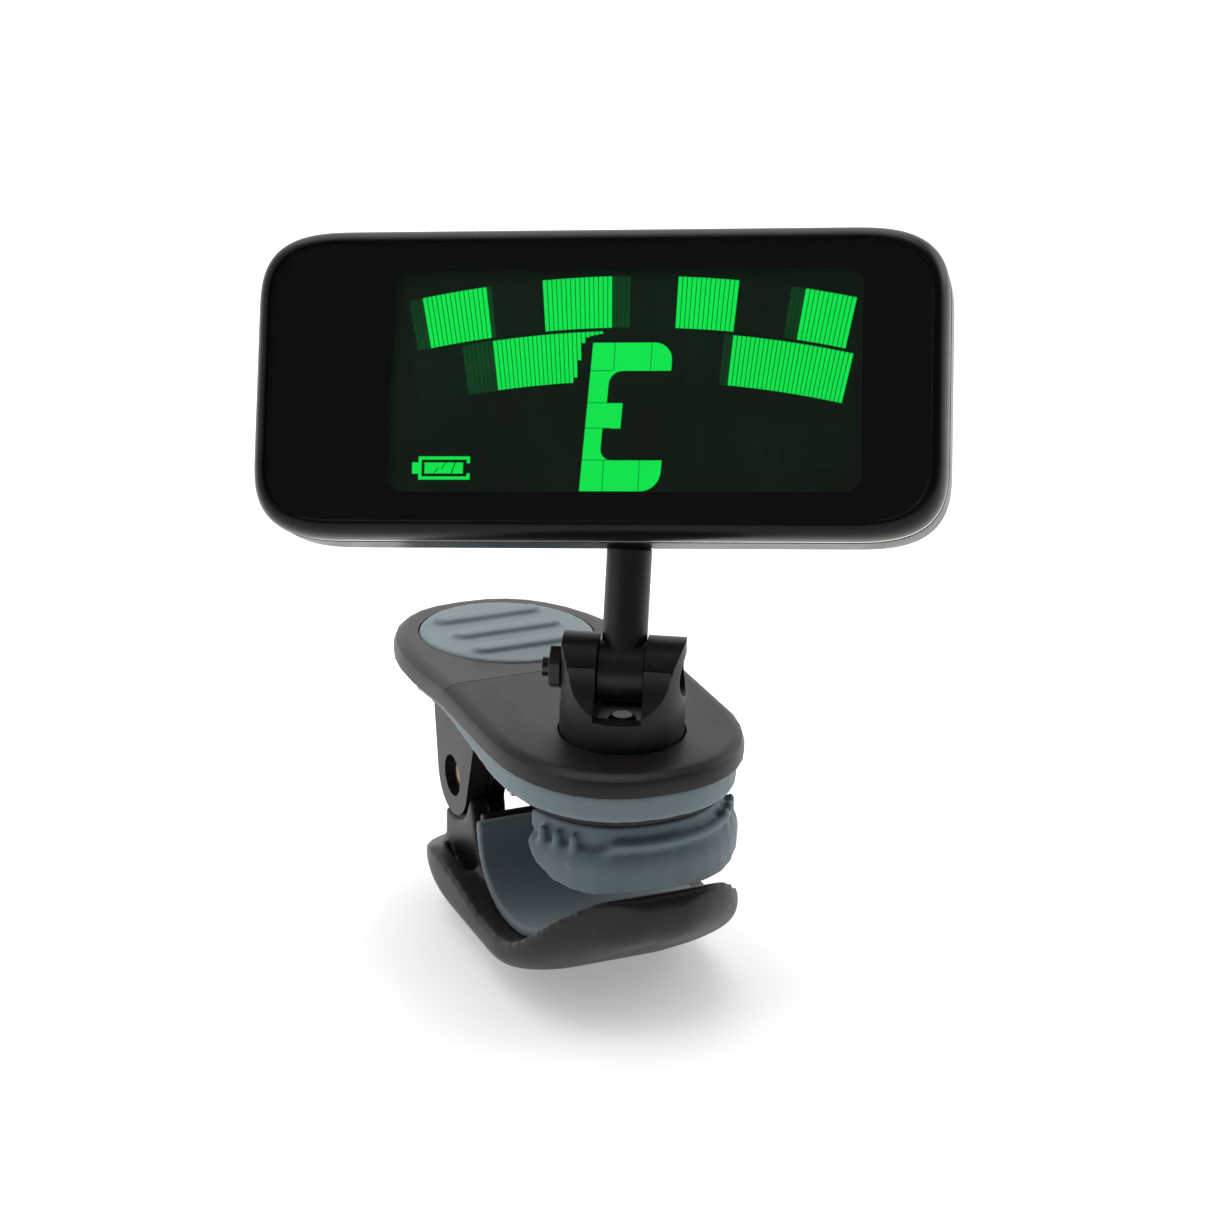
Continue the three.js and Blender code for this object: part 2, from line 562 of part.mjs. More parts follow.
function pivotNutSolid() {
  const face = -clevis.radius + nut.seat - seatGap;
  const radius = nut.acrossFlats / Math.sqrt(3);
  const body = bar("x", [0, pivotHeight], radius, face - nut.thickness, face, 6);
  const bore = bar("x", [0, pivotHeight], pivotScrew.radius + seatGap, face - nut.thickness - past, face + past);
  return cut(body, bore);
}

const swivelUnder = -shellThickness;
function swivelRivet() {
  const headLow = clevis.pocketFloor + seatGap;
  const tailTop = swivelUnder - washer.thickness - seatGap * 2;
  return join(
    bar("z", [0, 0], rivet.headRadius, headLow, headLow + rivet.headHeight, 24, rivet.headRadius * 0.7),
    bar("z", [0, 0], rivet.radius, tailTop - 0.6, headLow + rivet.headHeight / 2),
    bar("z", [0, 0], rivet.tailRadius, tailTop - 0.6, tailTop),
  );
}

function swivelWasher() {
  const top = swivelUnder - seatGap;
  const disc = bar("z", [0, 0], washer.radius, top - washer.thickness, top);
  return cut(disc, bar("z", [0, 0], rivet.radius + runningGap, top - past, top + past));
}

add(swivel, "swivel_clevis", swivelClevis(), finishes.blackPlastic);
add(swivel, "pivot_screw", pivotScrewSolid(), finishes.blackSteel);
add(swivel, "pivot_nut", pivotNutSolid(), finishes.blackSteel);
add(swivel, "swivel_rivet", swivelRivet(), finishes.steel);
add(swivel, "swivel_washer", swivelWasher(), finishes.steel);

// ---- neck: origin on the pivot, Z along the stalk ----
function neckStalk() {
  const top = neckLength - ball.flat - seatGap;
  const throatTop = top - 2.2;
  const waist = 1.7; // the stalk's radius where it goes into the ball's cup
  const barrel = bar("x", [0, 0], barrelRadius, -barrelWidth / 2, barrelWidth / 2, 32);
  const shaft = bar("z", [0, 0], stalkRadius, 0, throatTop, 32);
  const cone = bar("z", [0, 0], stalkRadius, throatTop - 0.01, top - 1.1, 32, waist);
  const pillar = bar("z", [0, 0], waist, top - 1.2, top, 32);
  const peg = bar("z", [0, 0], spigot.radius, top - past / 2, top + spigot.length, 16);
  const bore = bar("x", [0, 0], pivotScrew.radius + seatGap, -barrelWidth, barrelWidth);
  return cut(join(barrel, shaft, cone, pillar, peg), bore);
}

function neckBall() {
  const round = sphere([0, 0, neckLength], ball.radius).trimByPlane([0, 0, 1], neckLength - ball.flat);
  const from = neckLength - ball.flat - past;
  const to = neckLength - ball.flat - seatGap + spigot.length + seatGap * 2;
  return cut(round, bar("z", [0, 0], spigot.radius + seatGap, from, to, 16));
}

add(neck, "neck_stalk", neckStalk(), finishes.blackPlastic);
add(neck, "neck_ball", neckBall(), finishes.steel);

// ---- head: X across the face, Y into the head from its front, Z up ----
const trimFront = housing.depth + 0.05;
const coverFront = trimFront + trim.depth + 0.05;
const lensBack = 0.05 + lens.thickness;
const ledgeFront = lensBack + seatGap;
const glassFront = ledgeFront + ledge.thickness + seatGap;
const lightFront = glassFront + display.thickness + seatGap;
const corners = [[-1, -1], [1, -1], [1, 1], [-1, 1]];
const windowShape = (grow) =>
  rectangle(display.left - grow, display.low - grow, display.right + grow, display.high + grow);

function frontHousing() {
  const edge = { size: housing.edge, depth: housing.depth * 0.97, segments: 4 };
  const outer = prism("y", headOutline(), 0, housing.depth, edge);
  const seat = prism("y", headOutline(lens.inset - seatGap / 2), -past, ledgeFront);
  const opening = prism("y", windowShape(-displayMargin), -past, housing.depth + past);
  const back = prism("y", headOutline(housing.edge + housing.wall), ledgeFront + ledge.thickness, housing.depth + past);
  const bosses = corners.map(([sx, sz]) =>
    bar("y", [sx * screwAt.x, sz * screwAt.z], screw.bossRadius, ledgeFront + 0.1, coverFront + 2.4, 16));
  const pilots = corners.map(([sx, sz]) =>
    bar("y", [sx * screwAt.x, sz * screwAt.z], screw.radius + seatGap, ledgeFront + 0.9, coverFront + 4, 16));
  return cut(join(cut(outer, seat, opening, back), ...bosses), ...pilots);
}

function trimBand() {
  const outer = prism("y", headOutline(0.05), trimFront, trimFront + trim.depth);
  return cut(outer, prism("y", headOutline(trim.wall + 0.05), trimFront - past, trimFront + trim.depth + past));
}

function stalkSlot() {
  const swing = { front: ball.y - 3.3, rear: ball.y + 4.3, halfWidth: stalkRadius + 0.65 };
  return block([ball.x - swing.halfWidth, swing.front, -head.halfHeight - past],
    [ball.x + swing.halfWidth, swing.rear, -head.halfHeight + rear.wall + past]);
}

// Drawn from the back, so that the rounded end of the prism is the cover's back.
function coverSolid(inset, edge, frontY) {
  const drawn = prism("y", headOutline(inset), inset, head.depth - frontY, edge);
  return drawn.transform([-1, 0, 0, 0, 0, -1, 0, 0, 0, 0, 1, 0, 0, head.depth, 0, 1]);
}

function coverHollow(gap) {
  const edge = { size: rear.edgeSize - 0.6, depth: rear.edgeDepth - 0.9, segments: 3 };
  return coverSolid(rear.wall + gap, edge, gap ? 0 : coverFront - past);
}

function rearCover() {
  const edge = { size: rear.edgeSize, depth: rear.edgeDepth, segments: 4 };
  const outer = coverSolid(0, edge, coverFront);
  const inner = coverHollow(0);
  const tubes = corners.map(([sx, sz]) =>
    bar("y", [sx * screwAt.x, sz * screwAt.z], screw.bossRadius + 0.35, coverFront + 2.6, head.depth - 0.9, 16));
  const screwHoles = corners.flatMap(([sx, sz]) => [
    bar("y", [sx * screwAt.x, sz * screwAt.z], screw.radius + runningGap, coverFront, head.depth + past, 16),
    bar("y", [sx * screwAt.x, sz * screwAt.z], screw.headRadius + seatGap, head.depth - screw.headDepth - 0.5,
      head.depth + past, 20),
  ]);
  const buttonHoles = Object.values(buttonX).map((x) =>
    bar("y", [x, buttonRow.z], buttonRow.radius + runningGap, head.depth - rear.wall - past, head.depth + past, 28));
  const port = block([-head.halfWidth - past, socketY() - 0.2, socket.z - socket.halfWidth - 0.2],
    [-head.halfWidth + rear.wall + 3, socketY() + socket.thickness + 0.2, socket.z + socket.halfWidth + 0.2]);
  const hollow = cut(outer, inner);
  const whole = join(hollow, ...tubes.map((tube) => tube.intersect(outer)));
  return cut(whole, ...screwHoles, ...buttonHoles, stalkSlot(), port);
}

function socketY() {
  return board.y + board.thickness + 0.2;
}

function mainBoard() {
  const plate = block([-board.halfWidth, board.y, board.low], [board.halfWidth, board.y + board.thickness, board.high]);
  const back = board.y + board.thickness;
  const switches = Object.values(buttonX).map((x) =>
    block([x - 2.2, back - 0.1, buttonRow.z - 2.2], [x + 2.2, back + 1.3, buttonRow.z + 2.2]));
  const chips = [[4, 9, 3], [14, 9.6, 2.2], [12, -3.5, 1.6]].map(([x, z, s]) =>
    block([x - s, back - 0.1, z - s / 2], [x + s, back + 0.9, z + s / 2]));
  return join(plate, ...switches, ...chips);
}

function usbSocket() {
  const y = socketY();
  const left = -head.halfWidth + 0.4;
  const outer = block([left, y, socket.z - socket.halfWidth],
    [left + socket.length, y + socket.thickness, socket.z + socket.halfWidth]);
  const inner = block([left - past, y + socket.wall, socket.z - socket.halfWidth + socket.wall],
    [left + socket.length - 1.2, y + socket.thickness - socket.wall, socket.z + socket.halfWidth - socket.wall]);
  const blade = block([left + 1.2, y + socket.thickness / 2 - 0.35, socket.z - socket.halfWidth + 1.1],
    [left + socket.length - 0.5, y + socket.thickness / 2 + 0.35, socket.z + socket.halfWidth - 1.1]);
  return join(cut(outer, inner), blade);
}

function button(x) {
  const inside = head.depth - rear.wall - seatGap;
  const stemEnd = board.y + board.thickness + 1.3 + buttonRow.travel + seatGap;
  return join(
    bar("y", [x, buttonRow.z], buttonRow.radius, inside - buttonRow.flange, head.depth + buttonRow.proud - 0.4, 24),
    bar("y", [x, buttonRow.z], buttonRow.radius * 0.86, head.depth + buttonRow.proud - 0.5,
      head.depth + buttonRow.proud, 24),
    bar("y", [x, buttonRow.z], buttonRow.radius + 0.7, inside - buttonRow.flange, inside, 24),
    bar("y", [x, buttonRow.z], buttonRow.stem, stemEnd, inside - buttonRow.flange / 2, 12),
  );
}

function ballCup() {
  const low = -head.halfHeight + rear.wall + seatGap;
  const body = block([ball.x - cup.halfWidth, cup.front, low], [ball.x + cup.halfWidth, cup.rear, cup.top]);
  const hollow = sphere([ball.x, ball.y, ball.z], ball.radius + seatGap);
  const mouth = bar("z", [ball.x, ball.y], cup.mouth, low - past, ball.z - 1, 28, cup.throat);
  const wings = [-1, 1].map((side) =>
    block([ball.x + side * (cup.halfWidth + 1.6) - 1.9, cup.rear - 1.4, ball.z - 2.2],
      [ball.x + side * (cup.halfWidth + 1.6) + 1.9, cup.rear, ball.z + 2.2]));
  const holes = [-1, 1].map((side) =>
    bar("y", [ball.x + side * (cup.halfWidth + 1.7), ball.z], 0.75, cup.rear - 3, cup.rear + past, 12));
  return cut(join(body, ...wings).intersect(coverHollow(seatGap)), hollow, mouth, ...holes);
}

function cupScrew(side) {
  const at = [ball.x + side * (cup.halfWidth + 1.7), ball.z];
  const wingFront = cup.rear - 1.4;
  return join(
    bar("y", at, 1.4, wingFront - 0.9, wingFront - seatGap, 16),
    bar("y", at, 0.65, wingFront - 0.5, cup.rear - 0.1, 12),
  );
}

function housingScrew(sx, sz) {
  const at = [sx * screwAt.x, sz * screwAt.z];
  const headY = head.depth - screw.headDepth - 0.5 + seatGap;
  const cross = [[0.9, 0.2], [0.2, 0.9]].map(([x, z]) =>
    block([at[0] - x, headY + 0.5, at[1] - z], [at[0] + x, headY + past * 2, at[1] + z]));
  const body = join(
    bar("y", at, screw.headRadius, headY, headY + screw.headDepth - 0.2, 20),
    bar("y", at, screw.radius, headY - screw.length, headY + 0.3, 16),
  );
  return cut(body, ...cross);
}

function piezoDisc() {
  const y = head.depth - rear.wall - seatGap - piezo.thickness;
  return bar("y", [piezo.x, piezo.z], piezo.radius, y, y + piezo.thickness, 32);
}

const headPlate = (shape, from, thickness, edge = null) => prism("y", shape, from, from + thickness, edge);
add(headGroup, "front_housing", frontHousing(), finishes.glossBlack);
add(headGroup, "display_lens",
  headPlate(headOutline(lens.inset), 0.05, lens.thickness, { size: 0.12, depth: 0.12, segments: 1 }), finishes.clearLens);
add(headGroup, "lcd_panel", headPlate(windowShape(0), glassFront, display.thickness), finishes.display);
add(headGroup, "backlight_panel", headPlate(windowShape(-0.3), lightFront, backlightThickness), finishes.lightGuide);
add(headGroup, "trim_band", trimBand(), finishes.champagne);
add(headGroup, "rear_cover", rearCover(), finishes.glossBlack);
add(headGroup, "main_board", mainBoard(), finishes.board);
const cellY = board.y + board.thickness + 0.4;
add(headGroup, "battery_cell", block([battery.left, cellY, battery.low],
  [battery.left + battery.width, cellY + battery.thickness, battery.low + battery.height]), finishes.foil);
add(headGroup, "usb_socket", usbSocket(), finishes.steel);
add(headGroup, "piezo_disc", piezoDisc(), finishes.brass);
add(headGroup, "ball_cup", ballCup(), finishes.cupPlastic);
[-1, 1].forEach((side, i) => add(headGroup, `cup_screw_${i + 1}`, cupScrew(side), finishes.steel));
corners.forEach(([sx, sz], i) => add(headGroup, `housing_screw_${i + 1}`, housingScrew(sx, sz), finishes.blackSteel));
Object.entries(buttonX).forEach(([name, x]) => add(headGroup, name, button(x), finishes.blackPlastic));

export default root;
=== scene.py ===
"""Looks of a clip-on instrument tuner: its lit display head, folding neck, swivel and sprung clip.

Sizes here are millimetres in the frame of the piece being made; every mesh ends up in metres in the part's frame.
"""

from __future__ import annotations

import json
import logging
import math
from dataclasses import dataclass, field
from enum import Enum
from typing import Any, Callable, Iterable, Sequence

import bmesh
import bpy
from mathutils import Matrix, Vector

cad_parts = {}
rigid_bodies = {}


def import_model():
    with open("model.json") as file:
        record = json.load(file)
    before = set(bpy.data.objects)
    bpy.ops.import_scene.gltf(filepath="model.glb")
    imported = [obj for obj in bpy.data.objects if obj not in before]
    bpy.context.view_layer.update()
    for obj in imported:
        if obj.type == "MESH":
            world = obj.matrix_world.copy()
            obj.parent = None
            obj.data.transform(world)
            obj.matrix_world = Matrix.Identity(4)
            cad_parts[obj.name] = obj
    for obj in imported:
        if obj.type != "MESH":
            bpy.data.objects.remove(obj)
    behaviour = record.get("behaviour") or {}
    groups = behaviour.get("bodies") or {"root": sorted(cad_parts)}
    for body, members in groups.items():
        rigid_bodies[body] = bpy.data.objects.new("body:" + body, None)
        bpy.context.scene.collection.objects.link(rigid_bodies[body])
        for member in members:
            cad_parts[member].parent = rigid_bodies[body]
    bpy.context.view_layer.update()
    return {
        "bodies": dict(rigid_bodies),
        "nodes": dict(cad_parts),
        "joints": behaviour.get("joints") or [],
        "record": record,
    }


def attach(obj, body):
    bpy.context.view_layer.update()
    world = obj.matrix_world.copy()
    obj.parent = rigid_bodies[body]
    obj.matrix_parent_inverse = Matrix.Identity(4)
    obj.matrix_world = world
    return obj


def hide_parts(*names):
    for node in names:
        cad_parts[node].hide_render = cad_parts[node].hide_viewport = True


LOG = logging.getLogger("tuner")
MM = 0.001
Socket = bpy.types.NodeSocket
Point2 = tuple[float, float]
Rgb = tuple[float, float, float]


class Body(str, Enum):
    """The moving bodies that a piece can ride on."""

    JAW = "jaw"
    LEVER = "lever"
    SWIVEL = "swivel"
    NECK = "neck"
    BALL = "ball"
    HEAD = "head"
    POWER = "power_button"
    DOWN = "down_button"
    UP = "up_button"


class Slot(str, Enum):
    """The record's material slots."""

    BLACK = "black_plastic"
    GLOSS = "gloss_black"
    LENS = "clear_lens"
    DISPLAY = "display"
    GUIDE = "light_guide"
    GREY_RUBBER = "grey_rubber"
    DARK_RUBBER = "dark_rubber"
    STEEL = "steel"
    BLACK_STEEL = "black_steel"
    BRASS = "brass"
    TRIM = "champagne_trim"
    BOARD = "circuit_board"
    FOIL = "cell_foil"
    CUP = "cup_plastic"


# ---- shader building ----


def node(tree: bpy.types.NodeTree, kind: str, inputs: dict[str | int, Any] | None = None, **settings: Any) -> Any:
    """Adds a shader node.

    Args:
        tree: the node tree.
        kind: the node's type without its ShaderNode prefix.
        inputs: values or sockets for its inputs, by name or index.
        settings: the node's own properties.

    Returns:
        The new node.
    """
    made = tree.nodes.new("ShaderNode" + kind)
    for name, value in settings.items():
        setattr(made, name, value)
    for key, value in (inputs or {}).items():
        if isinstance(value, bpy.types.NodeSocket):
            tree.links.new(value, made.inputs[key])
        else:
            made.inputs[key].default_value = value
    return made


def math_node(tree: bpy.types.NodeTree, operation: str, *values: Any) -> Socket:
    """Adds a Math node over the given values or sockets and returns its output."""
    return node(tree, "Math", dict(enumerate(values)), operation=operation).outputs[0]


def ramp(tree: bpy.types.NodeTree, value: Socket, low: float, high: float, out_low: float = 0.0,
         out_high: float = 1.0) -> Socket:
    """Maps a value smoothly from one range to another.

    Args:
        tree: the node tree.
        value: the socket to map.
        low: the value that gives out_low.
        high: the value that gives out_high.
        out_low: the output at low.
        out_high: the output at high.

    Returns:
        The mapped socket.
    """
    numbers = {"Value": value, "From Min": low, "From Max": high, "To Min": out_low, "To Max": out_high}
    return node(tree, "MapRange", numbers, interpolation_type="SMOOTHSTEP").outputs["Result"]


class Effects:
    """Shader node groups that several finishes share."""

    def __init__(self) -> None:
        """Builds the groups."""
        self.grain = self._grain()
        self.ageing = self._ageing()

    @staticmethod
    def _new(name: str, inputs: dict[str, float], outputs: Sequence[str]) -> tuple[Any, Any, Any]:
        """Makes an empty group.

        Args:
            name: the group's name.
            inputs: its float inputs and their defaults.
            outputs: its float outputs.

        Returns:
            The tree, its input node and its output node.
        """
        tree = bpy.data.node_groups.new(name, "ShaderNodeTree")
        for label, value in inputs.items():
            made = tree.interface.new_socket(label, in_out="INPUT", socket_type="NodeSocketFloat")
            made.default_value = value
        for label in outputs:
            tree.interface.new_socket(label, in_out="OUTPUT", socket_type="NodeSocketFloat")
        return tree, tree.nodes.new("NodeGroupInput"), tree.nodes.new("NodeGroupOutput")

    def _grain(self) -> bpy.types.NodeTree:
        """Moulded or blasted texture: a height, and a slow and a fast change of tone."""
        tree, given, out = self._new("fine_grain", {"Scale": 2500.0, "Pebble": 0.5}, ("Height", "Tone", "Fleck"))
        place = node(tree, "TexCoord").outputs["Object"]
        fine = node(tree, "TexNoise", {"Vector": place, "Scale": given.outputs["Scale"], "Detail": 3.0,
                                       "Roughness": 0.6}).outputs["Fac"]
        cells = node(tree, "TexVoronoi", {"Vector": place, "Scale": given.outputs["Scale"]},
                     feature="SMOOTH_F1").outputs["Distance"]
        pebble = math_node(tree, "MULTIPLY", cells, given.outputs["Pebble"])
        tree.links.new(math_node(tree, "ADD", fine, pebble), out.inputs["Height"])
        slow = node(tree, "TexNoise", {"Vector": place, "Scale": 70.0, "Detail": 4.0}).outputs["Fac"]
        tree.links.new(ramp(tree, slow, 0.3, 0.7), out.inputs["Tone"])
        tree.links.new(ramp(tree, fine, 0.62, 0.8), out.inputs["Fleck"])
        return tree

    def _ageing(self) -> bpy.types.NodeTree:
        """Use and handling: rubbed edges, settled dust, and smudges from fingers."""
        tree, given, out = self._new("handling", {"Edges": 0.3, "Dust": 0.2}, ("Wear", "Dust", "Smudge"))
        place = node(tree, "TexCoord").outputs["Object"]
        geometry = node(tree, "NewGeometry")
        patch = node(tree, "TexNoise", {"Vector": place, "Scale": 420.0, "Detail": 5.0}).outputs["Fac"]
        edge = ramp(tree, geometry.outputs["Pointiness"], 0.53, 0.62)
        worn = math_node(tree, "MULTIPLY", edge, ramp(tree, patch, 0.4, 0.65))
        tree.links.new(math_node(tree, "MULTIPLY", worn, given.outputs["Edges"]), out.inputs["Wear"])
        upward = node(tree, "SeparateXYZ", {0: geometry.outputs["Normal"]}).outputs["Z"]
        specks = node(tree, "TexNoise", {"Vector": place, "Scale": 5200.0, "Detail": 1.0}).outputs["Fac"]
        fall = math_node(tree, "MULTIPLY", ramp(tree, upward, 0.2, 1.0), ramp(tree, specks, 0.7, 0.78))
        tree.links.new(math_node(tree, "MULTIPLY", fall, given.outputs["Dust"]), out.inputs["Dust"])
        stretched = node(tree, "Mapping", {"Vector": place, "Scale": (1.0, 0.35, 0.6)}).outputs["Vector"]
        smear = node(tree, "TexNoise", {"Vector": stretched, "Scale": 160.0, "Detail": 6.0,
                                        "Distortion": 1.2}).outputs["Fac"]
        tree.links.new(ramp(tree, smear, 0.45, 0.7), out.inputs["Smudge"])
        return tree


@dataclass(frozen=True)
class Finish:
    """An opaque finish with a fine texture, rubbed edges, dust and smudges."""

    name: str
    color: Rgb
    roughness: float
    metallic: float = 0.0
    worn_color: Rgb = (0.2, 0.2, 0.2)
    tone: float = 0.12
    grain_scale: float = 2500.0
    pebble: float = 0.5
    relief: float = 0.01
    edges: float = 0.3
    dust: float = 0.15
    smudge: float = 0.06
    specular: float = 0.5
    coat: float = 0.0
    sheen: float = 0.0
    anisotropic: float = 0.0

    def make(self, effects: Effects) -> bpy.types.Material:
        """Builds the material.

        Args:
            effects: the shared node groups.

        Returns:
            The material.
        """
        material = bpy.data.materials.new(self.name)
        material.use_nodes = True
        tree = material.node_tree
        shader = tree.nodes["Principled BSDF"]
        grain = node(tree, "Group", node_tree=effects.grain)
        grain.inputs["Scale"].default_value = self.grain_scale
        grain.inputs["Pebble"].default_value = self.pebble
        age = node(tree, "Group", node_tree=effects.ageing)
        age.inputs["Edges"].default_value = self.edges
        age.inputs["Dust"].default_value = self.dust
        dark = tuple(c * (1 - self.tone) for c in self.color)
        light = tuple(min(c * (1 + self.tone), 1.0) for c in self.color)
        base = self._mix(tree, grain.outputs["Tone"], dark, light)
        worn = self._mix(tree, age.outputs["Wear"], base, self.worn_color)
        dusty = self._mix(tree, age.outputs["Dust"], worn, (0.45, 0.44, 0.42))
        tree.links.new(dusty, shader.inputs["Base Color"])
        spread = math_node(tree, "MULTIPLY", age.outputs["Smudge"], self.smudge)
        fleck = math_node(tree, "MULTIPLY", grain.outputs["Fleck"], self.smudge)
        rough = math_node(tree, "ADD", math_node(tree, "ADD", spread, fleck), self.roughness)
        dulled = math_node(tree, "ADD", rough, math_node(tree, "MULTIPLY", age.outputs["Dust"], 0.3))
        tree.links.new(dulled, shader.inputs["Roughness"])
        bump = node(tree, "Bump", {"Height": grain.outputs["Height"], "Strength": 1.0, "Distance": self.relief * MM})
        tree.links.new(bump.outputs["Normal"], shader.inputs["Normal"])
        constants = {"Metallic": self.metallic, "Specular IOR Level": self.specular, "Coat Weight": self.coat,
                     "Sheen Weight": self.sheen, "Anisotropic": self.anisotropic}
        for label, value in constants.items():
            shader.inputs[label].default_value = value
        return material

    @staticmethod
    def _mix(tree: bpy.types.NodeTree, factor: Socket, first: Any, second: Any) -> Socket:
        """Mixes two colours, each a socket or three numbers, by a factor socket."""
        mixed = tree.nodes.new("ShaderNodeMix")
        mixed.data_type = "RGBA"
        tree.links.new(factor, mixed.inputs["Factor"])
        for key, value in (("A", first), ("B", second)):
            target = next(s for s in mixed.inputs if s.name == key and s.type == "RGBA")
            if isinstance(value, bpy.types.NodeSocket):
                tree.links.new(value, target)
            else:
                target.default_value = (*value, 1.0)
        return next(s for s in mixed.outputs if s.type == "RGBA")


@dataclass(frozen=True)
class ClearWindow:
    """Polished clear plastic with a slight tint."""

    name: str
    color: Rgb = (0.93, 0.97, 0.95)
    roughness: float = 0.02
    ior: float = 1.46

    def make(self, effects: Effects) -> bpy.types.Material:
        """Builds the material, with faint finger smudges in its polish, and returns it."""
        material = bpy.data.materials.new(self.name)
        material.use_nodes = True
        tree = material.node_tree
        shader = tree.nodes["Principled BSDF"]
        age = node(tree, "Group", node_tree=effects.ageing)
        rough = math_node(tree, "MULTIPLY", age.outputs["Smudge"], 0.03)
        tree.links.new(math_node(tree, "ADD", rough, self.roughness), shader.inputs["Roughness"])
        shader.inputs["Base Color"].default_value = (*self.color, 1.0)
        shader.inputs["IOR"].default_value = self.ior
        shader.inputs["Transmission Weight"].default_value = 1.0
        return material


@dataclass(frozen=True)
class Glow:
    """A display segment that gives off light, a little uneven from the light guide behind it."""

    name: str
    color: Rgb
    strength: float
    unevenness: float = 0.12

    def make(self, effects: Effects) -> bpy.types.Material:
        """Builds the material.

        Args:
            effects: the shared node groups.

        Returns:
            The material.
        """
        material = bpy.data.materials.new(self.name)
        material.use_nodes = True
        tree = material.node_tree
        shader = tree.nodes["Principled BSDF"]
        shader.inputs["Base Color"].default_value = (*(c * 0.02 for c in self.color), 1.0)
        shader.inputs["Roughness"].default_value = 0.35
        grain = node(tree, "Group", node_tree=effects.grain)
        low = tuple(c * (1 - self.unevenness) for c in self.color)
        mixed = Finish._mix(tree, grain.outputs["Tone"], low, self.color)
        tree.links.new(mixed, shader.inputs["Emission Color"])
        shader.inputs["Emission Strength"].default_value = self.strength
        return material


FINISHES: dict[str, Finish | ClearWindow | Glow] = {
    "satin_black": Finish("satin_black", (0.0085, 0.0066, 0.0085), 0.42, worn_color=(0.035, 0.034, 0.036),
                          grain_scale=3200.0, relief=0.008, edges=0.2, dust=0.12, specular=0.3),
    "polished_black": Finish("polished_black", (0.003, 0.003, 0.004), 0.3, worn_color=(0.02, 0.02, 0.023),
                             grain_scale=900.0, pebble=0.0, relief=0.0015, edges=0.1, dust=0.15, smudge=0.05,
                             specular=0.16),
    "printed_black": Finish("printed_black", (0.0015, 0.0015, 0.002), 0.5, tone=0.02, relief=0.0, edges=0.0,
                            dust=0.0, specular=0.1),
    "display_glass": Glow("display_glass", (0.0, 0.0055, 0.0016), 1.0, 0.7),
    "clear_window": ClearWindow("clear_window"),
    "lit_segment": Glow("lit_segment", (0.0, 0.86, 0.08), 1.0, 0.08),
    "fading_segment": Glow("fading_segment", (0.0, 0.06, 0.012), 1.0, 0.5),
    "resting_segment": Glow("resting_segment", (0.0, 0.009, 0.003), 1.0, 0.5),
    "light_guide": Finish("light_guide", (0.75, 0.78, 0.75), 0.4, tone=0.04, edges=0.0),
    "grey_rubber": Finish("grey_rubber", (0.125, 0.168, 0.19), 0.62, worn_color=(0.3, 0.34, 0.36), grain_scale=2600.0,
                          pebble=0.8, relief=0.01, dust=0.35, sheen=0.15),
    "dark_rubber": Finish("dark_rubber", (0.085, 0.12, 0.138), 0.6, worn_color=(0.2, 0.24, 0.26),
                          grain_scale=2600.0, pebble=0.8, relief=0.01, dust=0.3, sheen=0.15),
    "steel": Finish("steel", (0.55, 0.56, 0.57), 0.28, 1.0, (0.75, 0.75, 0.76), 0.08, 4200.0, 0.2, 0.003,
                    anisotropic=0.3),
    "black_steel": Finish("black_steel", (0.012, 0.012, 0.013), 0.3, 0.35, (0.12, 0.12, 0.12), 0.2, 4200.0, 0.2, 0.003,
                          edges=0.4, specular=0.4),
    "brass": Finish("brass", (0.58, 0.43, 0.2), 0.33, 1.0, (0.75, 0.6, 0.35), 0.15, 4200.0, 0.2, 0.003),
    "bright_trim": Finish("bright_trim", (0.86, 0.76, 0.66), 0.34, 0.75, (0.9, 0.85, 0.8), 0.03, 4200.0, 0.0, 0.001,
                          dust=0.1),
    "solder_mask": Finish("solder_mask", (0.02, 0.13, 0.05), 0.35, tone=0.2, worn_color=(0.3, 0.3, 0.1)),
    "foil": Finish("foil", (0.45, 0.48, 0.50), 0.3, 0.8, (0.6, 0.6, 0.6), 0.1, 500.0, 0.2, 0.03),
    "acetal": Finish("acetal", (0.62, 0.59, 0.52), 0.35, tone=0.04),
}


class Palette:
    """Makes each finish's material once."""

    def __init__(self) -> None:
        """Builds the shared effects."""
        self.effects = Effects()
        self.made: dict[str, bpy.types.Material] = {}

    def __getitem__(self, name: str) -> bpy.types.Material:
        """The material of the finish with that name."""
        if name not in self.made:
            self.made[name] = FINISHES[name].make(self.effects)
        return self.made[name]


# ---- outlines: closed curves by point number and how far they are moved in ----

Outline = Callable[[int, float], Point2]
RING = 192  # points round an outline
QUARTER = RING // 4


def polar(a: float, b: float, squareness: float, angle: float) -> Point2:
    """The point of a superellipse in a direction.

    Args:
        a: its half-width.
        b: its half-height.
        squareness: its exponent, 2 for an ellipse.
        angle: the direction, in radians.

    Returns:
        The point.
    """
    c, s = math.cos(angle), math.sin(angle)
    radius = (abs(c / a) ** squareness + abs(s / b) ** squareness) ** (-1 / squareness)
    return radius * c, radius * s


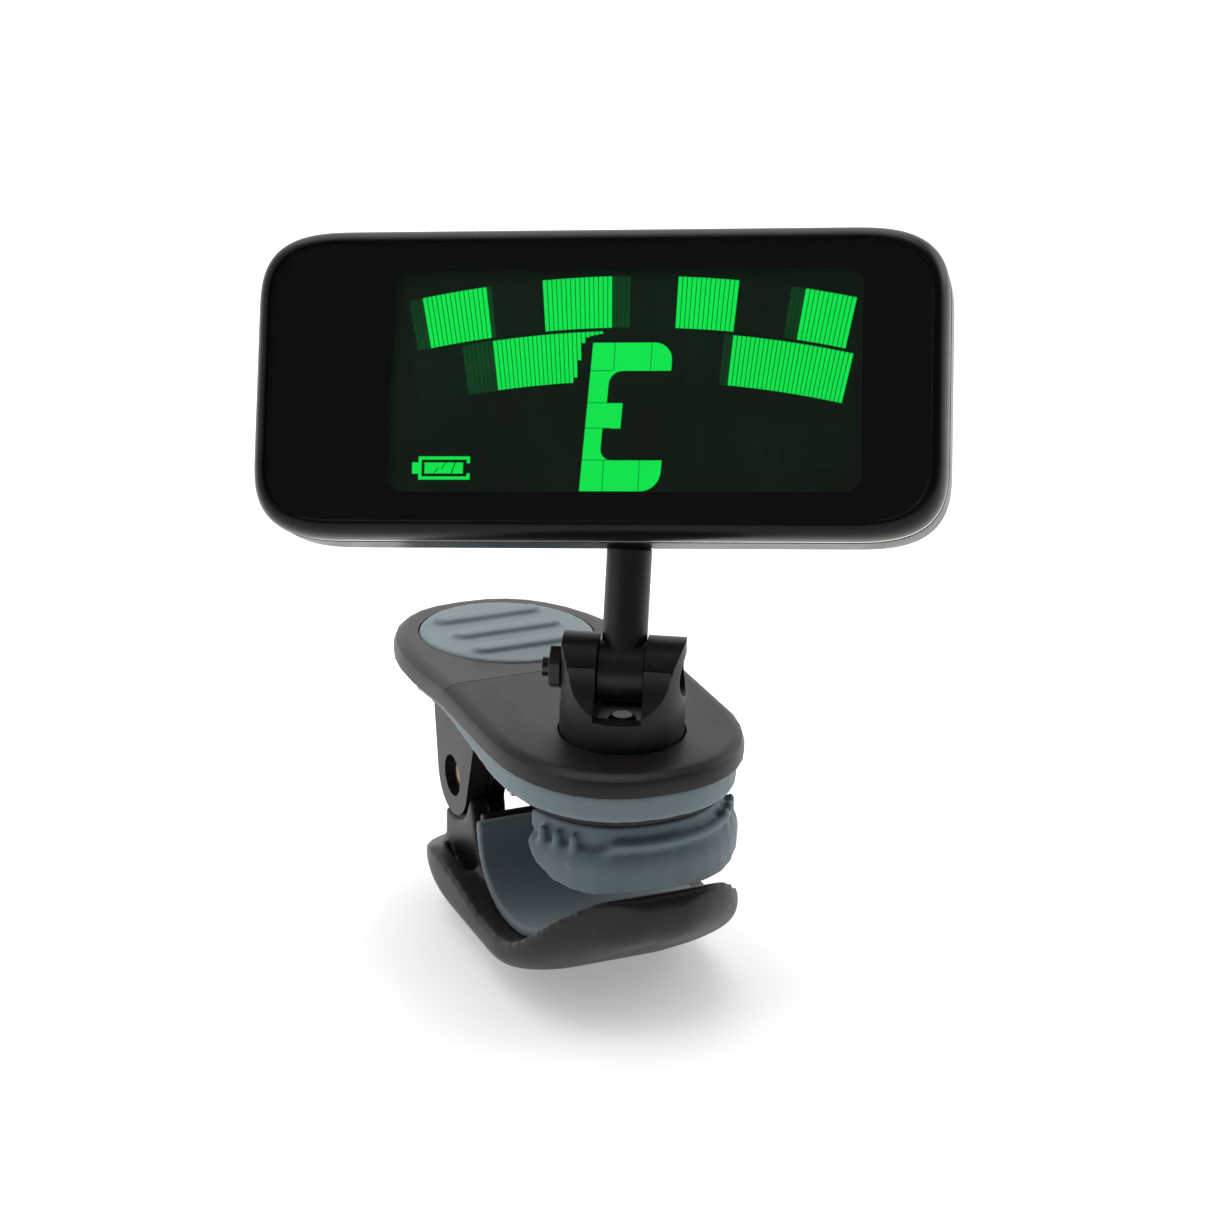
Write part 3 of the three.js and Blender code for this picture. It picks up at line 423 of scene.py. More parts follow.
@dataclass
class RoundedPanel:
    """A rectangle with superelliptic corners."""

    left: float
    right: float
    low: float
    high: float
    corner_width: float
    corner_height: float
    squareness: float = 2.0

    def __call__(self, step: int, inset: float) -> Point2:
        """The outline's point number `step`, with the outline moved in by `inset`."""
        corner, place = divmod(step, QUARTER)
        a = max(self.corner_width - inset, 0.05)
        b = max(self.corner_height - inset, 0.05)
        angle = (corner + place / (QUARTER - 1)) * math.pi / 2
        x, y = polar(a, b, self.squareness, angle)
        cx = self.right - inset - a if corner in (0, 3) else self.left + inset + a
        cy = self.high - inset - b if corner in (0, 1) else self.low + inset + b
        return cx + x, cy + y


@dataclass
class ClipPlan:
    """The clip's plan: a broad nose towards -Y and a rounder tail."""

    half_width: float
    nose_y: float
    nose_reach: float
    tail_y: float
    tail_reach: float

    def __call__(self, step: int, inset: float) -> Point2:
        """The outline's point number `step`, with the outline moved in by `inset`."""
        corner, place = divmod(step, QUARTER)
        angle = (corner + place / (QUARTER - 1)) * math.pi / 2
        tail = corner in (0, 1)
        reach = (self.tail_reach if tail else self.nose_reach) - inset
        x, y = polar(self.half_width - inset, reach, 2.5 if tail else 2.3, angle)
        return x, y + (self.tail_y if tail else self.nose_y)


Station = tuple[Outline, float, float]  # outline, inset, height


def rounded(outline: Outline, size: float, depth: float, start: float, rise: float, steps: int = 7,
            inset: float = 0.0) -> list[Station]:
    """Stations of an elliptical edge that runs from the side to an end face.

    Args:
        outline: the outline.
        size: how far the edge comes in.
        depth: how far along the edge starts before the end.
        start: the height where the edge starts.
        rise: +1 if the end face is above, -1 if it is below.
        steps: how many facets.
        inset: how far in the side itself is.

    Returns:
        The stations, from the side to the end face.
    """
    angles = [math.pi / 2 * i / steps for i in range(steps + 1)]
    return [(outline, inset + size * (1 - math.cos(t)), start + rise * depth * math.sin(t)) for t in angles]


def loft(stations: Sequence[Station], closed: bool = False) -> bmesh.types.BMesh:
    """Skins a row of outlines.

    Args:
        stations: the outlines with their insets and heights.
        closed: True for a ring, whose last station joins the first, or False to cap both ends.

    Returns:
        The mesh.
    """
    bm = bmesh.new()
    number = bm.verts.layers.int.new("number")
    bmesh.ops.create_circle(bm, segments=RING, radius=1.0)
    bm.verts.ensure_lookup_table()
    for index, vert in enumerate(bm.verts):
        vert[number] = index
    first = edges = list(bm.edges)
    verts = list(bm.verts)
    for place, (outline, inset, height) in enumerate(stations):
        if place:
            grown = bmesh.ops.extrude_edge_only(bm, edges=edges)["geom"]
            edges = [g for g in grown if isinstance(g, bmesh.types.BMEdge)]
            verts = [g for g in grown if isinstance(g, bmesh.types.BMVert)]
            edges = [e for e in edges if all(v in set(verts) for v in e.verts)]
        for vert in verts:
            x, y = outline(vert[number], inset)
            vert.co = (x, y, height)
    if closed:
        bmesh.ops.bridge_loops(bm, edges=first + edges)
    else:
        bmesh.ops.holes_fill(bm, edges=first + edges, sides=RING)
    bmesh.ops.remove_doubles(bm, verts=bm.verts, dist=1e-5)
    bmesh.ops.recalc_face_normals(bm, faces=bm.faces)
    return bm


def turned(profile: Sequence[Point2], sides: int = 48) -> bmesh.types.BMesh:
    """Spins a profile of (radius, height) points, which starts and ends on the axis, into a solid.

    Args:
        profile: the points.
        sides: the number of steps round.

    Returns:
        The mesh.
    """
    bm = bmesh.new()
    verts = [bm.verts.new((r, 0, z)) for r, z in profile]
    edges = [bm.edges.new(pair) for pair in zip(verts, verts[1:])]
    bmesh.ops.spin(bm, geom=verts + edges, axis=(0, 0, 1), cent=(0, 0, 0), angle=2 * math.pi, steps=sides,
                   use_merge=True)
    bmesh.ops.remove_doubles(bm, verts=bm.verts, dist=1e-5)
    bmesh.ops.recalc_face_normals(bm, faces=bm.faces)
    return bm


def plate(bm: bmesh.types.BMesh, corners: Sequence[Point2], height: float, thickness: float,
          round_off: dict[int, float] | None = None) -> None:
    """Adds a thin plate of a polygon's outline.

    Args:
        bm: the mesh to add it to.
        corners: the polygon.
        height: its lower face.
        thickness: its thickness.
        round_off: radii of the corners to round, by corner number.
    """
    verts = [bm.verts.new((x, y, height)) for x, y in corners]
    face = bm.faces.new(verts)
    for index, radius in sorted((round_off or {}).items()):
        corner = verts[index]
        bmesh.ops.bevel(bm, geom=[corner], offset=radius, affect="VERTICES", segments=7, profile=0.5, material=-1)
    face = max((f for f in bm.faces if abs(f.calc_center_median().z - height) < 1e-6 and not f.tag),
               key=lambda f: f.calc_area()) if round_off else face
    grown = bmesh.ops.extrude_face_region(bm, geom=[face])["geom"]
    moved = [g for g in grown if isinstance(g, bmesh.types.BMVert)]
    bmesh.ops.translate(bm, verts=moved, vec=(0, 0, thickness))
    for each in bm.faces:
        each.tag = True


class Workshop:
    """Puts finished meshes in the scene, in the part's frame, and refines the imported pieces."""

    def __init__(self, frame: dict[str, Any], palette: Palette) -> None:
        """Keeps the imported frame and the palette.

        Args:
            palette: the finishes.
        """
        self.nodes: dict[str, bpy.types.Object] = frame["nodes"]
        self.joints: dict[str, dict[str, Any]] = {j["name"]: j for j in frame["joints"]}
        self.palette = palette

    def place(self, name: str, bm: bmesh.types.BMesh, local: Matrix, body: Body, slot: Slot, finish: str,
              replaces: Iterable[str] = (), angle: float = 35.0, bevel: float = 0.0) -> bpy.types.Object:
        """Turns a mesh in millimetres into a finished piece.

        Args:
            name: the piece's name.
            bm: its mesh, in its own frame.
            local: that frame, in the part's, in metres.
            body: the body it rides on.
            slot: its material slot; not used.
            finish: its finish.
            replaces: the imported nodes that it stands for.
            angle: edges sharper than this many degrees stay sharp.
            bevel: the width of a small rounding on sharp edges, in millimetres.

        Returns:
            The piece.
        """
        bm.transform(local @ Matrix.Scale(MM, 4))
        if local.determinant() < 0:
            bmesh.ops.reverse_faces(bm, faces=bm.faces)
        mesh = bpy.data.meshes.new(name)
        bm.to_mesh(mesh)
        bm.free()
        return self._finish(name, mesh, body, finish, replaces, angle, bevel)

    def _finish(self, name: str, mesh: bpy.types.Mesh, body: Body, finish: str, replaces: Iterable[str],
                angle: float, bevel: float) -> bpy.types.Object:
        """Shades, dresses and mounts a mesh; the arguments are place's."""
        piece = bpy.data.objects.new(name, mesh)
        bpy.context.scene.collection.objects.link(piece)
        mesh.shade_smooth()
        mesh.set_sharp_from_angle(angle=math.radians(angle))
        if bevel:
            rounding = piece.modifiers.new("rounding", "BEVEL")
            rounding.width, rounding.segments = bevel * MM, 3
            rounding.limit_method, rounding.angle_limit = "ANGLE", math.radians(angle)
            rounding.harden_normals = False
            mesh.set_sharp_from_angle(angle=math.pi)
        even = piece.modifiers.new("even_shading", "WEIGHTED_NORMAL")
        even.keep_sharp = True
        mesh.materials.clear()
        mesh.materials.append(self.palette[finish])
        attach(piece, body.value)
        if replaces:
            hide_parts(*replaces)
        LOG.info("%s: %d faces on %s", name, len(mesh.polygons), body.value)
        return piece

    def merged(self, name: str) -> bmesh.types.BMesh:
        """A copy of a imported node's mesh in metres, with its loose triangles joined and flat areas made whole."""
        bm = bmesh.new()
        bm.from_mesh(self.nodes[name].data)
        bmesh.ops.remove_doubles(bm, verts=bm.verts, dist=2e-6)
        bmesh.ops.dissolve_limit(bm, angle_limit=math.radians(0.4), verts=bm.verts, edges=bm.edges,
                                 delimit={"NORMAL"})
        return bm

    def refine(self, name: str, body: Body, slot: Slot, finish: str, bevel: float = 0.12,
               angle: float = 38.0) -> bpy.types.Object:
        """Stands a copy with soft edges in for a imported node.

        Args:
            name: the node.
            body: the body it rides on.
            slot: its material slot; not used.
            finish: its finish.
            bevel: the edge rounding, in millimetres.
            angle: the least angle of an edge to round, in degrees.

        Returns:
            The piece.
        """
        mesh = bpy.data.meshes.new(name + "_detailed")
        bm = self.merged(name)
        bm.to_mesh(mesh)
        bm.free()
        return self._finish(name + "_detailed", mesh, body, finish, [name], angle, bevel)

    def mould(self, name: str, body: Body, slot: Slot, finish: str, voxel: float = 0.25, passes: int = 6,
              extra: Sequence[bmesh.types.BMesh] = ()) -> bpy.types.Object:
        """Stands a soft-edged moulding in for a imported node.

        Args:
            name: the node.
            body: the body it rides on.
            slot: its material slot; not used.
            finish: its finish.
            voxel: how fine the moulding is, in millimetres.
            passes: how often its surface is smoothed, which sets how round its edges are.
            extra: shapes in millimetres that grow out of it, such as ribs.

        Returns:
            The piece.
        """
        bm = self.merged(name)
        for shape in extra:
            shape.transform(Matrix.Scale(MM, 4))
            grown = bpy.data.meshes.new("grown")
            shape.to_mesh(grown)
            shape.free()
            bm.from_mesh(grown)
            bpy.data.meshes.remove(grown)
        rough = bpy.data.meshes.new("rough")
        bm.to_mesh(rough)
        bm.free()
        blank = bpy.data.objects.new("blank", rough)
        bpy.context.scene.collection.objects.link(blank)
        skin = blank.modifiers.new("skin", "REMESH")
        skin.mode, skin.voxel_size = "VOXEL", voxel * MM
        bpy.context.view_layer.update()
        mesh = bpy.data.meshes.new_from_object(blank.evaluated_get(bpy.context.evaluated_depsgraph_get()))
        bpy.data.objects.remove(blank)
        bm = bmesh.new()
        bm.from_mesh(mesh)
        for _ in range(passes):
            bmesh.ops.smooth_vert(bm, verts=bm.verts, factor=0.5, use_axis_x=True, use_axis_y=True, use_axis_z=True)
        bm.to_mesh(mesh)
        bm.free()
        return self._finish(name + "_moulded", mesh, body, finish, [name], 180.0, 0.0)

    def dress(self, finishes: dict[str, str]) -> None:
        """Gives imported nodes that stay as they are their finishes, by node name."""
        for name, finish in finishes.items():
            mesh = self.nodes[name].data
            mesh.materials.clear()
            mesh.materials.append(self.palette[finish])
            LOG.info("%s: dressed in %s", name, finish)

    def carve(self, piece: bpy.types.Object, cutters: Sequence[bmesh.types.BMesh], local: Matrix) -> None:
        """Cuts shapes out of a piece and keeps the result as its mesh.

        Args:
            piece: the piece.
            cutters: the shapes, in millimetres in their own frame.
            local: that frame.
        """
        tools = []
        for bm in cutters:
            bm.transform(local @ Matrix.Scale(MM, 4))
            bmesh.ops.recalc_face_normals(bm, faces=bm.faces)
            mesh = bpy.data.meshes.new("cutter")
            bm.to_mesh(mesh)
            bm.free()
            tool = bpy.data.objects.new("cutter", mesh)
            bpy.context.scene.collection.objects.link(tool)
            cut = piece.modifiers.new("cut", "BOOLEAN")
            cut.object, cut.operation, cut.solver = tool, "DIFFERENCE", "EXACT"
            tools.append(tool)
        others = [m for m in piece.modifiers if m.type != "BOOLEAN"]
        shown = [m.show_viewport for m in others]
        for each in others:
            each.show_viewport = False
        bpy.context.view_layer.update()
        evaluated = piece.evaluated_get(bpy.context.evaluated_depsgraph_get())
        mesh = bpy.data.meshes.new_from_object(evaluated)
        for each, visible in zip(others, shown):
            each.show_viewport = visible
        for each in [m for m in piece.modifiers if m.type == "BOOLEAN"]:
            piece.modifiers.remove(each)
        for tool in tools:
            bpy.data.objects.remove(tool)
        piece.data = mesh
        mesh.shade_smooth()
        mesh.set_sharp_from_angle(angle=math.radians(35))


# ---- sub-assemblies ----


@dataclass
class Pose:
    """The head's frames at rest, from the joints."""

    joints: dict[str, dict[str, Any]]
    ball: Point2 = (2.9, 7.8)
    ball_height: float = -11.0

    @staticmethod
    def _frame(x: Vector, y: Vector, z: Vector, origin: Vector) -> Matrix:
        """A frame from its axes and origin."""
        turned_axes = Matrix((x, y, z)).transposed().to_4x4()
        return Matrix.Translation(origin) @ turned_axes

    def head(self) -> Matrix:
        """X across the face, Y into the head from its front, Z up, from the middle of the face."""
        x = Vector(self.joints["head_tilt"]["axis"]).normalized()
        y = -Vector(self.joints["power_button_press"]["axis"]).normalized()
        z = x.cross(y)
        centre = Vector(self.joints["head_tilt"]["pos_m"])
        offset = (x * self.ball[0] + y * self.ball[1] + z * self.ball_height) * MM
        return self._frame(x, y, z, centre - offset)

    def face(self) -> Matrix:
        """The head's frame for drawing on its face: X across, Y up, Z into the head."""
        return self.head() @ Matrix(((1, 0, 0, 0), (0, 0, 1, 0), (0, 1, 0, 0), (0, 0, 0, 1)))


@dataclass
class Head:
    """The housing, window, trim and cover round the display."""

    workshop: Workshop
    pose: Pose
    outline: RoundedPanel = field(default_factory=lambda: RoundedPanel(-35, 35, -15.7, 15.7, 10.5, 8.5, 3.1))
    window: RoundedPanel = field(default_factory=lambda: RoundedPanel(-20.9, 26.5, -11.1, 11.3, 1.6, 1.6))
    depth: float = 13.0
    housing_depth: float = 3.15
    edge: float = 1.45
    lens_inset: float = 1.55
    lens_thickness: float = 1.1

    def build(self) -> None:
        """Makes every piece of the head but the display's segments."""
        self.housing()
        self.lens()
        self.mask()
        self.trim()
        self.cover()
        refine = self.workshop.refine
        for number in (1, 2, 3, 4):
            refine(f"housing_screw_{number}", Body.HEAD, Slot.BLACK_STEEL, "black_steel", 0.08)
        refine("usb_socket", Body.HEAD, Slot.STEEL, "steel", 0.1)
        for body in (Body.POWER, Body.DOWN, Body.UP):
            refine(body.value, body, Slot.BLACK, "satin_black", 0.15)
        self.workshop.dress({
            "lcd_panel": "display_glass", "backlight_panel": "light_guide", "main_board": "solder_mask",
            "battery_cell": "foil", "piezo_disc": "brass", "ball_cup": "acetal", "cup_screw_1": "steel",
            "cup_screw_2": "steel",
        })

    def housing(self) -> None:
        """The front frame: a soft outer edge, the seat of the window and a ledge behind it."""
        o = self.outline
        seat = self.lens_inset - 0.03
        stations = [(o, 0.0, self.housing_depth)]
        stations += rounded(o, self.edge, self.housing_depth - 0.1, self.housing_depth - 0.1, -1, 12)
        stations += [(o, seat, 0.02), (o, seat, 1.25), (o, 4.0, 1.25), (o, 4.0, 1.95), (o, 2.75, 1.95),
                     (o, 2.75, self.housing_depth)]
        self.workshop.place("housing_frame", loft(stations, closed=True), self.pose.face(), Body.HEAD, Slot.GLOSS,
                            "polished_black", ["front_housing"], angle=50)

    def lens(self) -> None:
        """The clear window, with its edge broken."""
        o = self.outline
        front, broken = 0.05, 0.12
        stations = [(o, self.lens_inset + broken, front), (o, self.lens_inset, front + broken),
                    (o, self.lens_inset, front + self.lens_thickness)]
        self.workshop.place("window", loft(stations), self.pose.face(), Body.HEAD, Slot.LENS, "clear_window",
                            ["display_lens"], angle=30)

    def mask(self) -> None:
        """The black print behind the window, open over the display."""
        behind = self.lens_thickness + 0.065
        outer, inner = (self.outline, 1.6), (self.window, 0.0)
        stations = [(*outer, behind), (*inner, behind), (*inner, behind + 0.03), (*outer, behind + 0.03)]
        self.workshop.place("window_print", loft(stations, closed=True), self.pose.face(), Body.HEAD, Slot.GLOSS,
                            "printed_black", angle=20)

    def trim(self) -> None:
        """The bright band between the housing and the cover."""
        o = self.outline
        front = self.housing_depth + 0.05
        back = front + 1.0
        stations = [(o, 0.2, front), (o, 0.05, front + 0.15), (o, 0.05, back - 0.15), (o, 0.2, back),
                    (o, 1.35, back), (o, 1.35, front)]
        self.workshop.place("bright_band", loft(stations, closed=True), self.pose.face(), Body.HEAD, Slot.TRIM,
                            "bright_trim", ["trim_band"], angle=50)

    def cover(self) -> None:
        """The rear cover, with its holes for buttons, screws, the charging socket and the stalk."""
        o = self.outline
        front = self.housing_depth + 1.1
        wall = 1.3
        inner = rounded(o, 2.6, 3.3, self.depth - wall - 3.3, 1, 10, inset=wall)
        stations = list(reversed(inner)) + [(o, wall, front), (o, 0.15, front), (o, 0.0, front + 0.15)]
        stations += rounded(o, 3.2, 4.2, self.depth - 4.2, 1, 14)
        joined = self.workshop.place("back_cover", loft(stations), self.pose.face(), Body.HEAD, Slot.GLOSS,
                                     "polished_black", ["rear_cover"], angle=35)
        cutters = []
        for x in (9.0, 17.0, 25.0):
            cutters.append(self._drum(x, 3.5, 2.9, self.depth - 3, self.depth + 1))
        for sx in (-1, 1):
            for sz in (-1, 1):
                cutters.append(self._drum(sx * 30.2, sz * 10.9, 1.8, self.depth - 1.7, self.depth + 1))
        slot = bmesh.new()
        bmesh.ops.create_cube(slot, size=1.0)
        bmesh.ops.scale(slot, vec=(5.9, 4.0, 7.6), verts=slot.verts)
        bmesh.ops.translate(slot, vec=(2.9, -15.7, 8.3), verts=slot.verts)
        edges = [e for e in slot.edges if abs(e.verts[0].co.y - e.verts[1].co.y) > 1]
        bmesh.ops.bevel(slot, geom=edges, offset=1.6, affect="EDGES", segments=6, profile=0.5, material=-1)
        port = bmesh.new()
        bmesh.ops.create_cube(port, size=1.0)
        bmesh.ops.scale(port, vec=(5.0, 9.2, 3.5), verts=port.verts)
        bmesh.ops.translate(port, vec=(-35.0, 3.0, 8.05), verts=port.verts)
        edges = [e for e in port.edges if abs(e.verts[0].co.x - e.verts[1].co.x) > 1]
        bmesh.ops.bevel(port, geom=edges, offset=0.9, affect="EDGES", segments=5, profile=0.5, material=-1)
        self.workshop.carve(joined, cutters + [slot, port], self.pose.face())

    @staticmethod
    def _drum(x: float, y: float, radius: float, low: float, high: float) -> bmesh.types.BMesh:
        """A round cutter in the face's frame, between two depths."""
        bm = bmesh.new()
        bmesh.ops.create_cone(bm, cap_ends=True, segments=48, radius1=radius, radius2=radius, depth=high - low)
        bmesh.ops.translate(bm, vec=(x, y, (low + high) / 2), verts=bm.verts)
        return bm


@dataclass
class Display:
    """What the display shows: two curved bands of fine strips, a note letter and a battery mark."""

    workshop: Workshop
    pose: Pose
    centre: Point2 = (3.4, -98.0)
    upper: Point2 = (103.6, 108.8)
    lower: Point2 = (98.2, 103.25)
    pitch: float = 0.25
    gap: float = 0.075
    left: float = -20.2
    right: float = 25.9
    depth: float = 2.0
    thickness: float = 0.02

    def build(self) -> None:
        """Makes the lit, fading and resting segments."""
        lit = bmesh.new()
        fading = bmesh.new()
        resting = bmesh.new()
        for band, blocks, tails in (
            (self.upper, ((-11.3, -7.8), (-4.75, -1.15), (2.3, 5.7), (9.05, 12.4)),
             ((-12.1, -11.3), (-7.8, -7.5), (-1.15, -0.2), (8.5, 9.05))),
            (self.lower, ((-7.85, -1.3), (5.7, 12.4)), ((-9.6, -7.85), (5.1, 5.7))),
        ):
            angle = -12.6
            while angle < 12.5:
                middle = angle + self.pitch / 2
                inside = any(a <= middle < b for a, b in blocks)
                trail = any(a <= middle < b for a, b in tails)
                self._strip(lit if inside else fading if trail else resting, band, angle)
                angle += self.pitch
        self._letter(lit)
        lines = self._dividers()
        self._battery(lit, resting, lines)
        for name, bm, finish in (("lit_segments", lit, "lit_segment"), ("fading_segments", fading, "fading_segment"),
                                 ("resting_segments", resting, "resting_segment"),
                                 ("segment_lines", lines, "printed_black")):
            bmesh.ops.recalc_face_normals(bm, faces=bm.faces)
            self.workshop.place(name, bm, self.pose.face(), Body.HEAD, Slot.DISPLAY, finish, angle=30)

    def _spot(self, radius: float, degrees: float) -> Point2:
        """A point of the bands, by its radius and its angle from straight up, to the right."""
        t = math.radians(degrees)
        return self.centre[0] + radius * math.sin(t), self.centre[1] + radius * math.cos(t)

    def _strip(self, bm: bmesh.types.BMesh, band: Point2, angle: float) -> None:
        """Adds one strip of a band, unless it lies outside the display or behind the letter.

        Args:
            bm: the mesh to add it to.
            band: the band's inner and outer radius.
            angle: the strip's left side, in degrees.
        """
        margin = math.degrees(self.gap / 2 / band[1])
        sides = (angle + margin, angle + self.pitch - margin)
        corners = [self._spot(band[0], sides[0]), self._spot(band[0], sides[1]),
                   self._spot(band[1], sides[1]), self._spot(band[1], sides[0])]
        if min(x for x, _ in corners) < self.left or max(x for x, _ in corners) > self.right + 0.3:
            return
        middle = sum(x for x, _ in corners) / 4
        if band == self.lower and -2.4 < middle < 8.9:
            if middle > 0.4:
                return
            slope, turn = (middle + 2.4) / 1.1, (middle + 1.3) / 1.7
            start = band[0] + (4.3 * slope if slope < 1 else 4.3 + 0.5 * math.sqrt(turn))
            corners[0], corners[1] = self._spot(start, sides[0]), self._spot(start, sides[1])
        plate(bm, corners, self.depth, self.thickness)

    def _letter(self, bm: bmesh.types.BMesh) -> None:
        """Adds the note letter, leaning a little to the right."""
        lean = 0.072
        shape = [(0.0, 4.05), (8.1, 4.05), (8.1, 1.2), (1.95, 1.2), (1.95, -2.05), (3.55, -2.05), (3.55, -4.6),
                 (1.75, -4.6), (1.75, -7.8), (8.0, -7.8), (8.0, -10.9), (0.0, -10.9)]
        corners = [(-0.75 + x + lean * y, y) for x, y in shape]
        plate(bm, corners, self.depth - 0.04, self.thickness, {1: 1.9, 3: 1.3, 8: 1.2, 10: 1.9})

    def _battery(self, lit: bmesh.types.BMesh, resting: bmesh.types.BMesh, bolt: bmesh.types.BMesh) -> None:
        """Adds the battery mark: a frame, its end and its filled middle, with a resting bolt across it."""
        left, right, low, high, line = -17.9, -12.65, -9.75, -7.4, 0.33
        for a, b, c, d in ((left, right, high - line, high), (left, right, low, low + line),
                           (left, left + line, low + line, high - line), (left - 0.65, left, -9.15, -8.0),
                           (right - line, right, low + line, -9.1), (right - line, right, -8.1, high - line),
                           (left + 0.62, right - 0.7, low + 0.62, high - 0.62)):
            plate(lit, [(a, c), (b, c), (b, d), (a, d)], self.depth, self.thickness)
        for x, foot, head in ((-16.4, -9.2, -8.6), (-15.6, -8.7, -8.0), (-14.6, -9.2, -7.9)):
            plate(bolt, [(x, foot), (x + 0.09, foot), (x + 0.55, head), (x + 0.46, head)], self.depth - 0.05,
                  self.thickness)
        plate(resting, [(-14.4, -6.2), (-15.9, -7.2), (-15.2, -7.2)], self.depth - 0.02, self.thickness)
        plate(resting, [(-16.3, -10.8), (-14.9, -9.9), (-15.5, -9.9)], self.depth - 0.02, self.thickness)
        for column, spot in enumerate((11.5, 15.4, 19.3, 23.2)):
            for dx, dy, wide, tall in ((0, 0, 1.9, 0.4), (0, -1.9, 1.9, 0.4), (0, -3.8, 1.9, 0.4),
                                       (-1.1, -0.95, 0.4, 1.5), (1.1, -0.95, 0.4, 1.5), (-1.1, -2.85, 0.4, 1.5),
                                       (1.1, -2.85, 0.4, 1.5)):
                x, y = spot + dx, -4.4 + dy - 0.02 * column
                plate(resting, [(x - wide / 2, y - tall / 2), (x + wide / 2, y - tall / 2),
                                (x + wide / 2, y + tall / 2), (x - wide / 2, y + tall / 2)], self.depth,
                      self.thickness)

    def _dividers(self) -> bmesh.types.BMesh:
        """The fine dark lines that part the letter's segments."""
        bm = bmesh.new()
        line = 0.05
        for x, low, high in ((1.65, 1.2, 4.1), (5.35, 1.2, 4.1), (0.75, -10.95, -7.8), (4.35, -10.95, -7.8)):
            plate(bm, [(x, low), (x + line, low), (x + line + 0.1, high), (x + 0.1, high)], self.depth - 0.08,
                  self.thickness)
        for y in (1.2, -2.05, -4.6, -7.8):
            plate(bm, [(-1.4, y), (1.5, y), (1.5, y + line), (-1.4, y + line)], self.depth - 0.08, self.thickness)
        return bm


@dataclass
class NeckAndSwivel:
    """The ball, stalk, clevis, screw, nut and rivet."""

    workshop: Workshop

    def build(self) -> None:
        """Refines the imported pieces."""
        refine = self.workshop.refine
        refine("neck_ball", Body.BALL, Slot.STEEL, "steel", 0.05)
        refine("neck_stalk", Body.NECK, Slot.BLACK, "satin_black", 0.2)
        refine("swivel_clevis", Body.SWIVEL, Slot.BLACK, "satin_black", 0.25)
        refine("pivot_screw", Body.SWIVEL, Slot.BLACK_STEEL, "black_steel", 0.1)
        refine("pivot_nut", Body.SWIVEL, Slot.BLACK_STEEL, "black_steel", 0.12)
        refine("swivel_rivet", Body.SWIVEL, Slot.STEEL, "black_steel", 0.08)
        self.workshop.dress({"swivel_washer": "steel"})


@dataclass
class Lever:
    """The clip's upper lever: shell, thumb pad, bumper, core and jaw pad."""

    workshop: Workshop
    plan: ClipPlan = field(default_factory=lambda: ClipPlan(13.2, -9, 15.8, 7, 27))
    rib_radius: float = 0.5
    rib_inset: float = 1.25
    rib_top: float = 20.9

    def build(self) -> None:
        """Makes the lever's pieces."""
        refine, mould = self.workshop.refine, self.workshop.mould
        refine("paddle_shell", Body.LEVER, Slot.BLACK, "satin_black", 0.15, 30)
        mould("thumb_pad", Body.LEVER, Slot.GREY_RUBBER, "grey_rubber", 0.2, 5)
        mould("rim_bumper", Body.LEVER, Slot.GREY_RUBBER, "grey_rubber", 0.25, 8)
        refine("lever_core", Body.LEVER, Slot.BLACK, "satin_black", 0.2)
        mould("jaw_pad", Body.LEVER, Slot.DARK_RUBBER, "dark_rubber", 0.22, 7, [self.ribs()])
        refine("hinge_pin", Body.LEVER, Slot.BRASS, "brass", 0.15)

    def ribs(self) -> bmesh.types.BMesh:
        """The jaw pad's ribs: three short ones at each front corner and a long one along the front."""
        bm = bmesh.new()
        corner = 2 * QUARTER
        for step in (corner + 20, corner + 24, corner + 28):
            for mirrored in (1, -1):
                x, y = self.plan(step, self.rib_inset)
                for height in range(9):
                    self._bead(bm, mirrored * x, y, self.rib_top - 0.25 * height)
        for step in range(corner + 33, 4 * QUARTER - 22):
            x, y = self.plan(step, self.rib_inset)
            for share in (0.0, 0.5):
                nx, ny = self.plan(step + 1, self.rib_inset)
                near_end = max(0.0, 4.0 - (step - corner - 33 + share)) / 4.0
                self._bead(bm, x + (nx - x) * share, y + (ny - y) * share, self.rib_top - 0.5 - 1.6 * near_end)
        return bm

    def _bead(self, bm: bmesh.types.BMesh, x: float, y: float, z: float) -> None:
        """Adds one bead of a rib's rounded line."""
        bmesh.ops.create_icosphere(bm, subdivisions=2, radius=self.rib_radius, matrix=Matrix.Translation((x, y, z)))


@dataclass
class Jaw:
    """The clip's lower jaw, its liner and the spring."""

    workshop: Workshop

    def build(self) -> None:
        """Makes the jaw's pieces."""
        self.workshop.mould("lower_jaw", Body.JAW, Slot.BLACK, "satin_black", 0.33, 5)
        self.workshop.mould("jaw_liner", Body.JAW, Slot.DARK_RUBBER, "dark_rubber", 0.25, 5)
        self.workshop.refine("torsion_spring", Body.JAW, Slot.STEEL, "steel", 0.0, 80)


# ---- camera, floor and lights ----


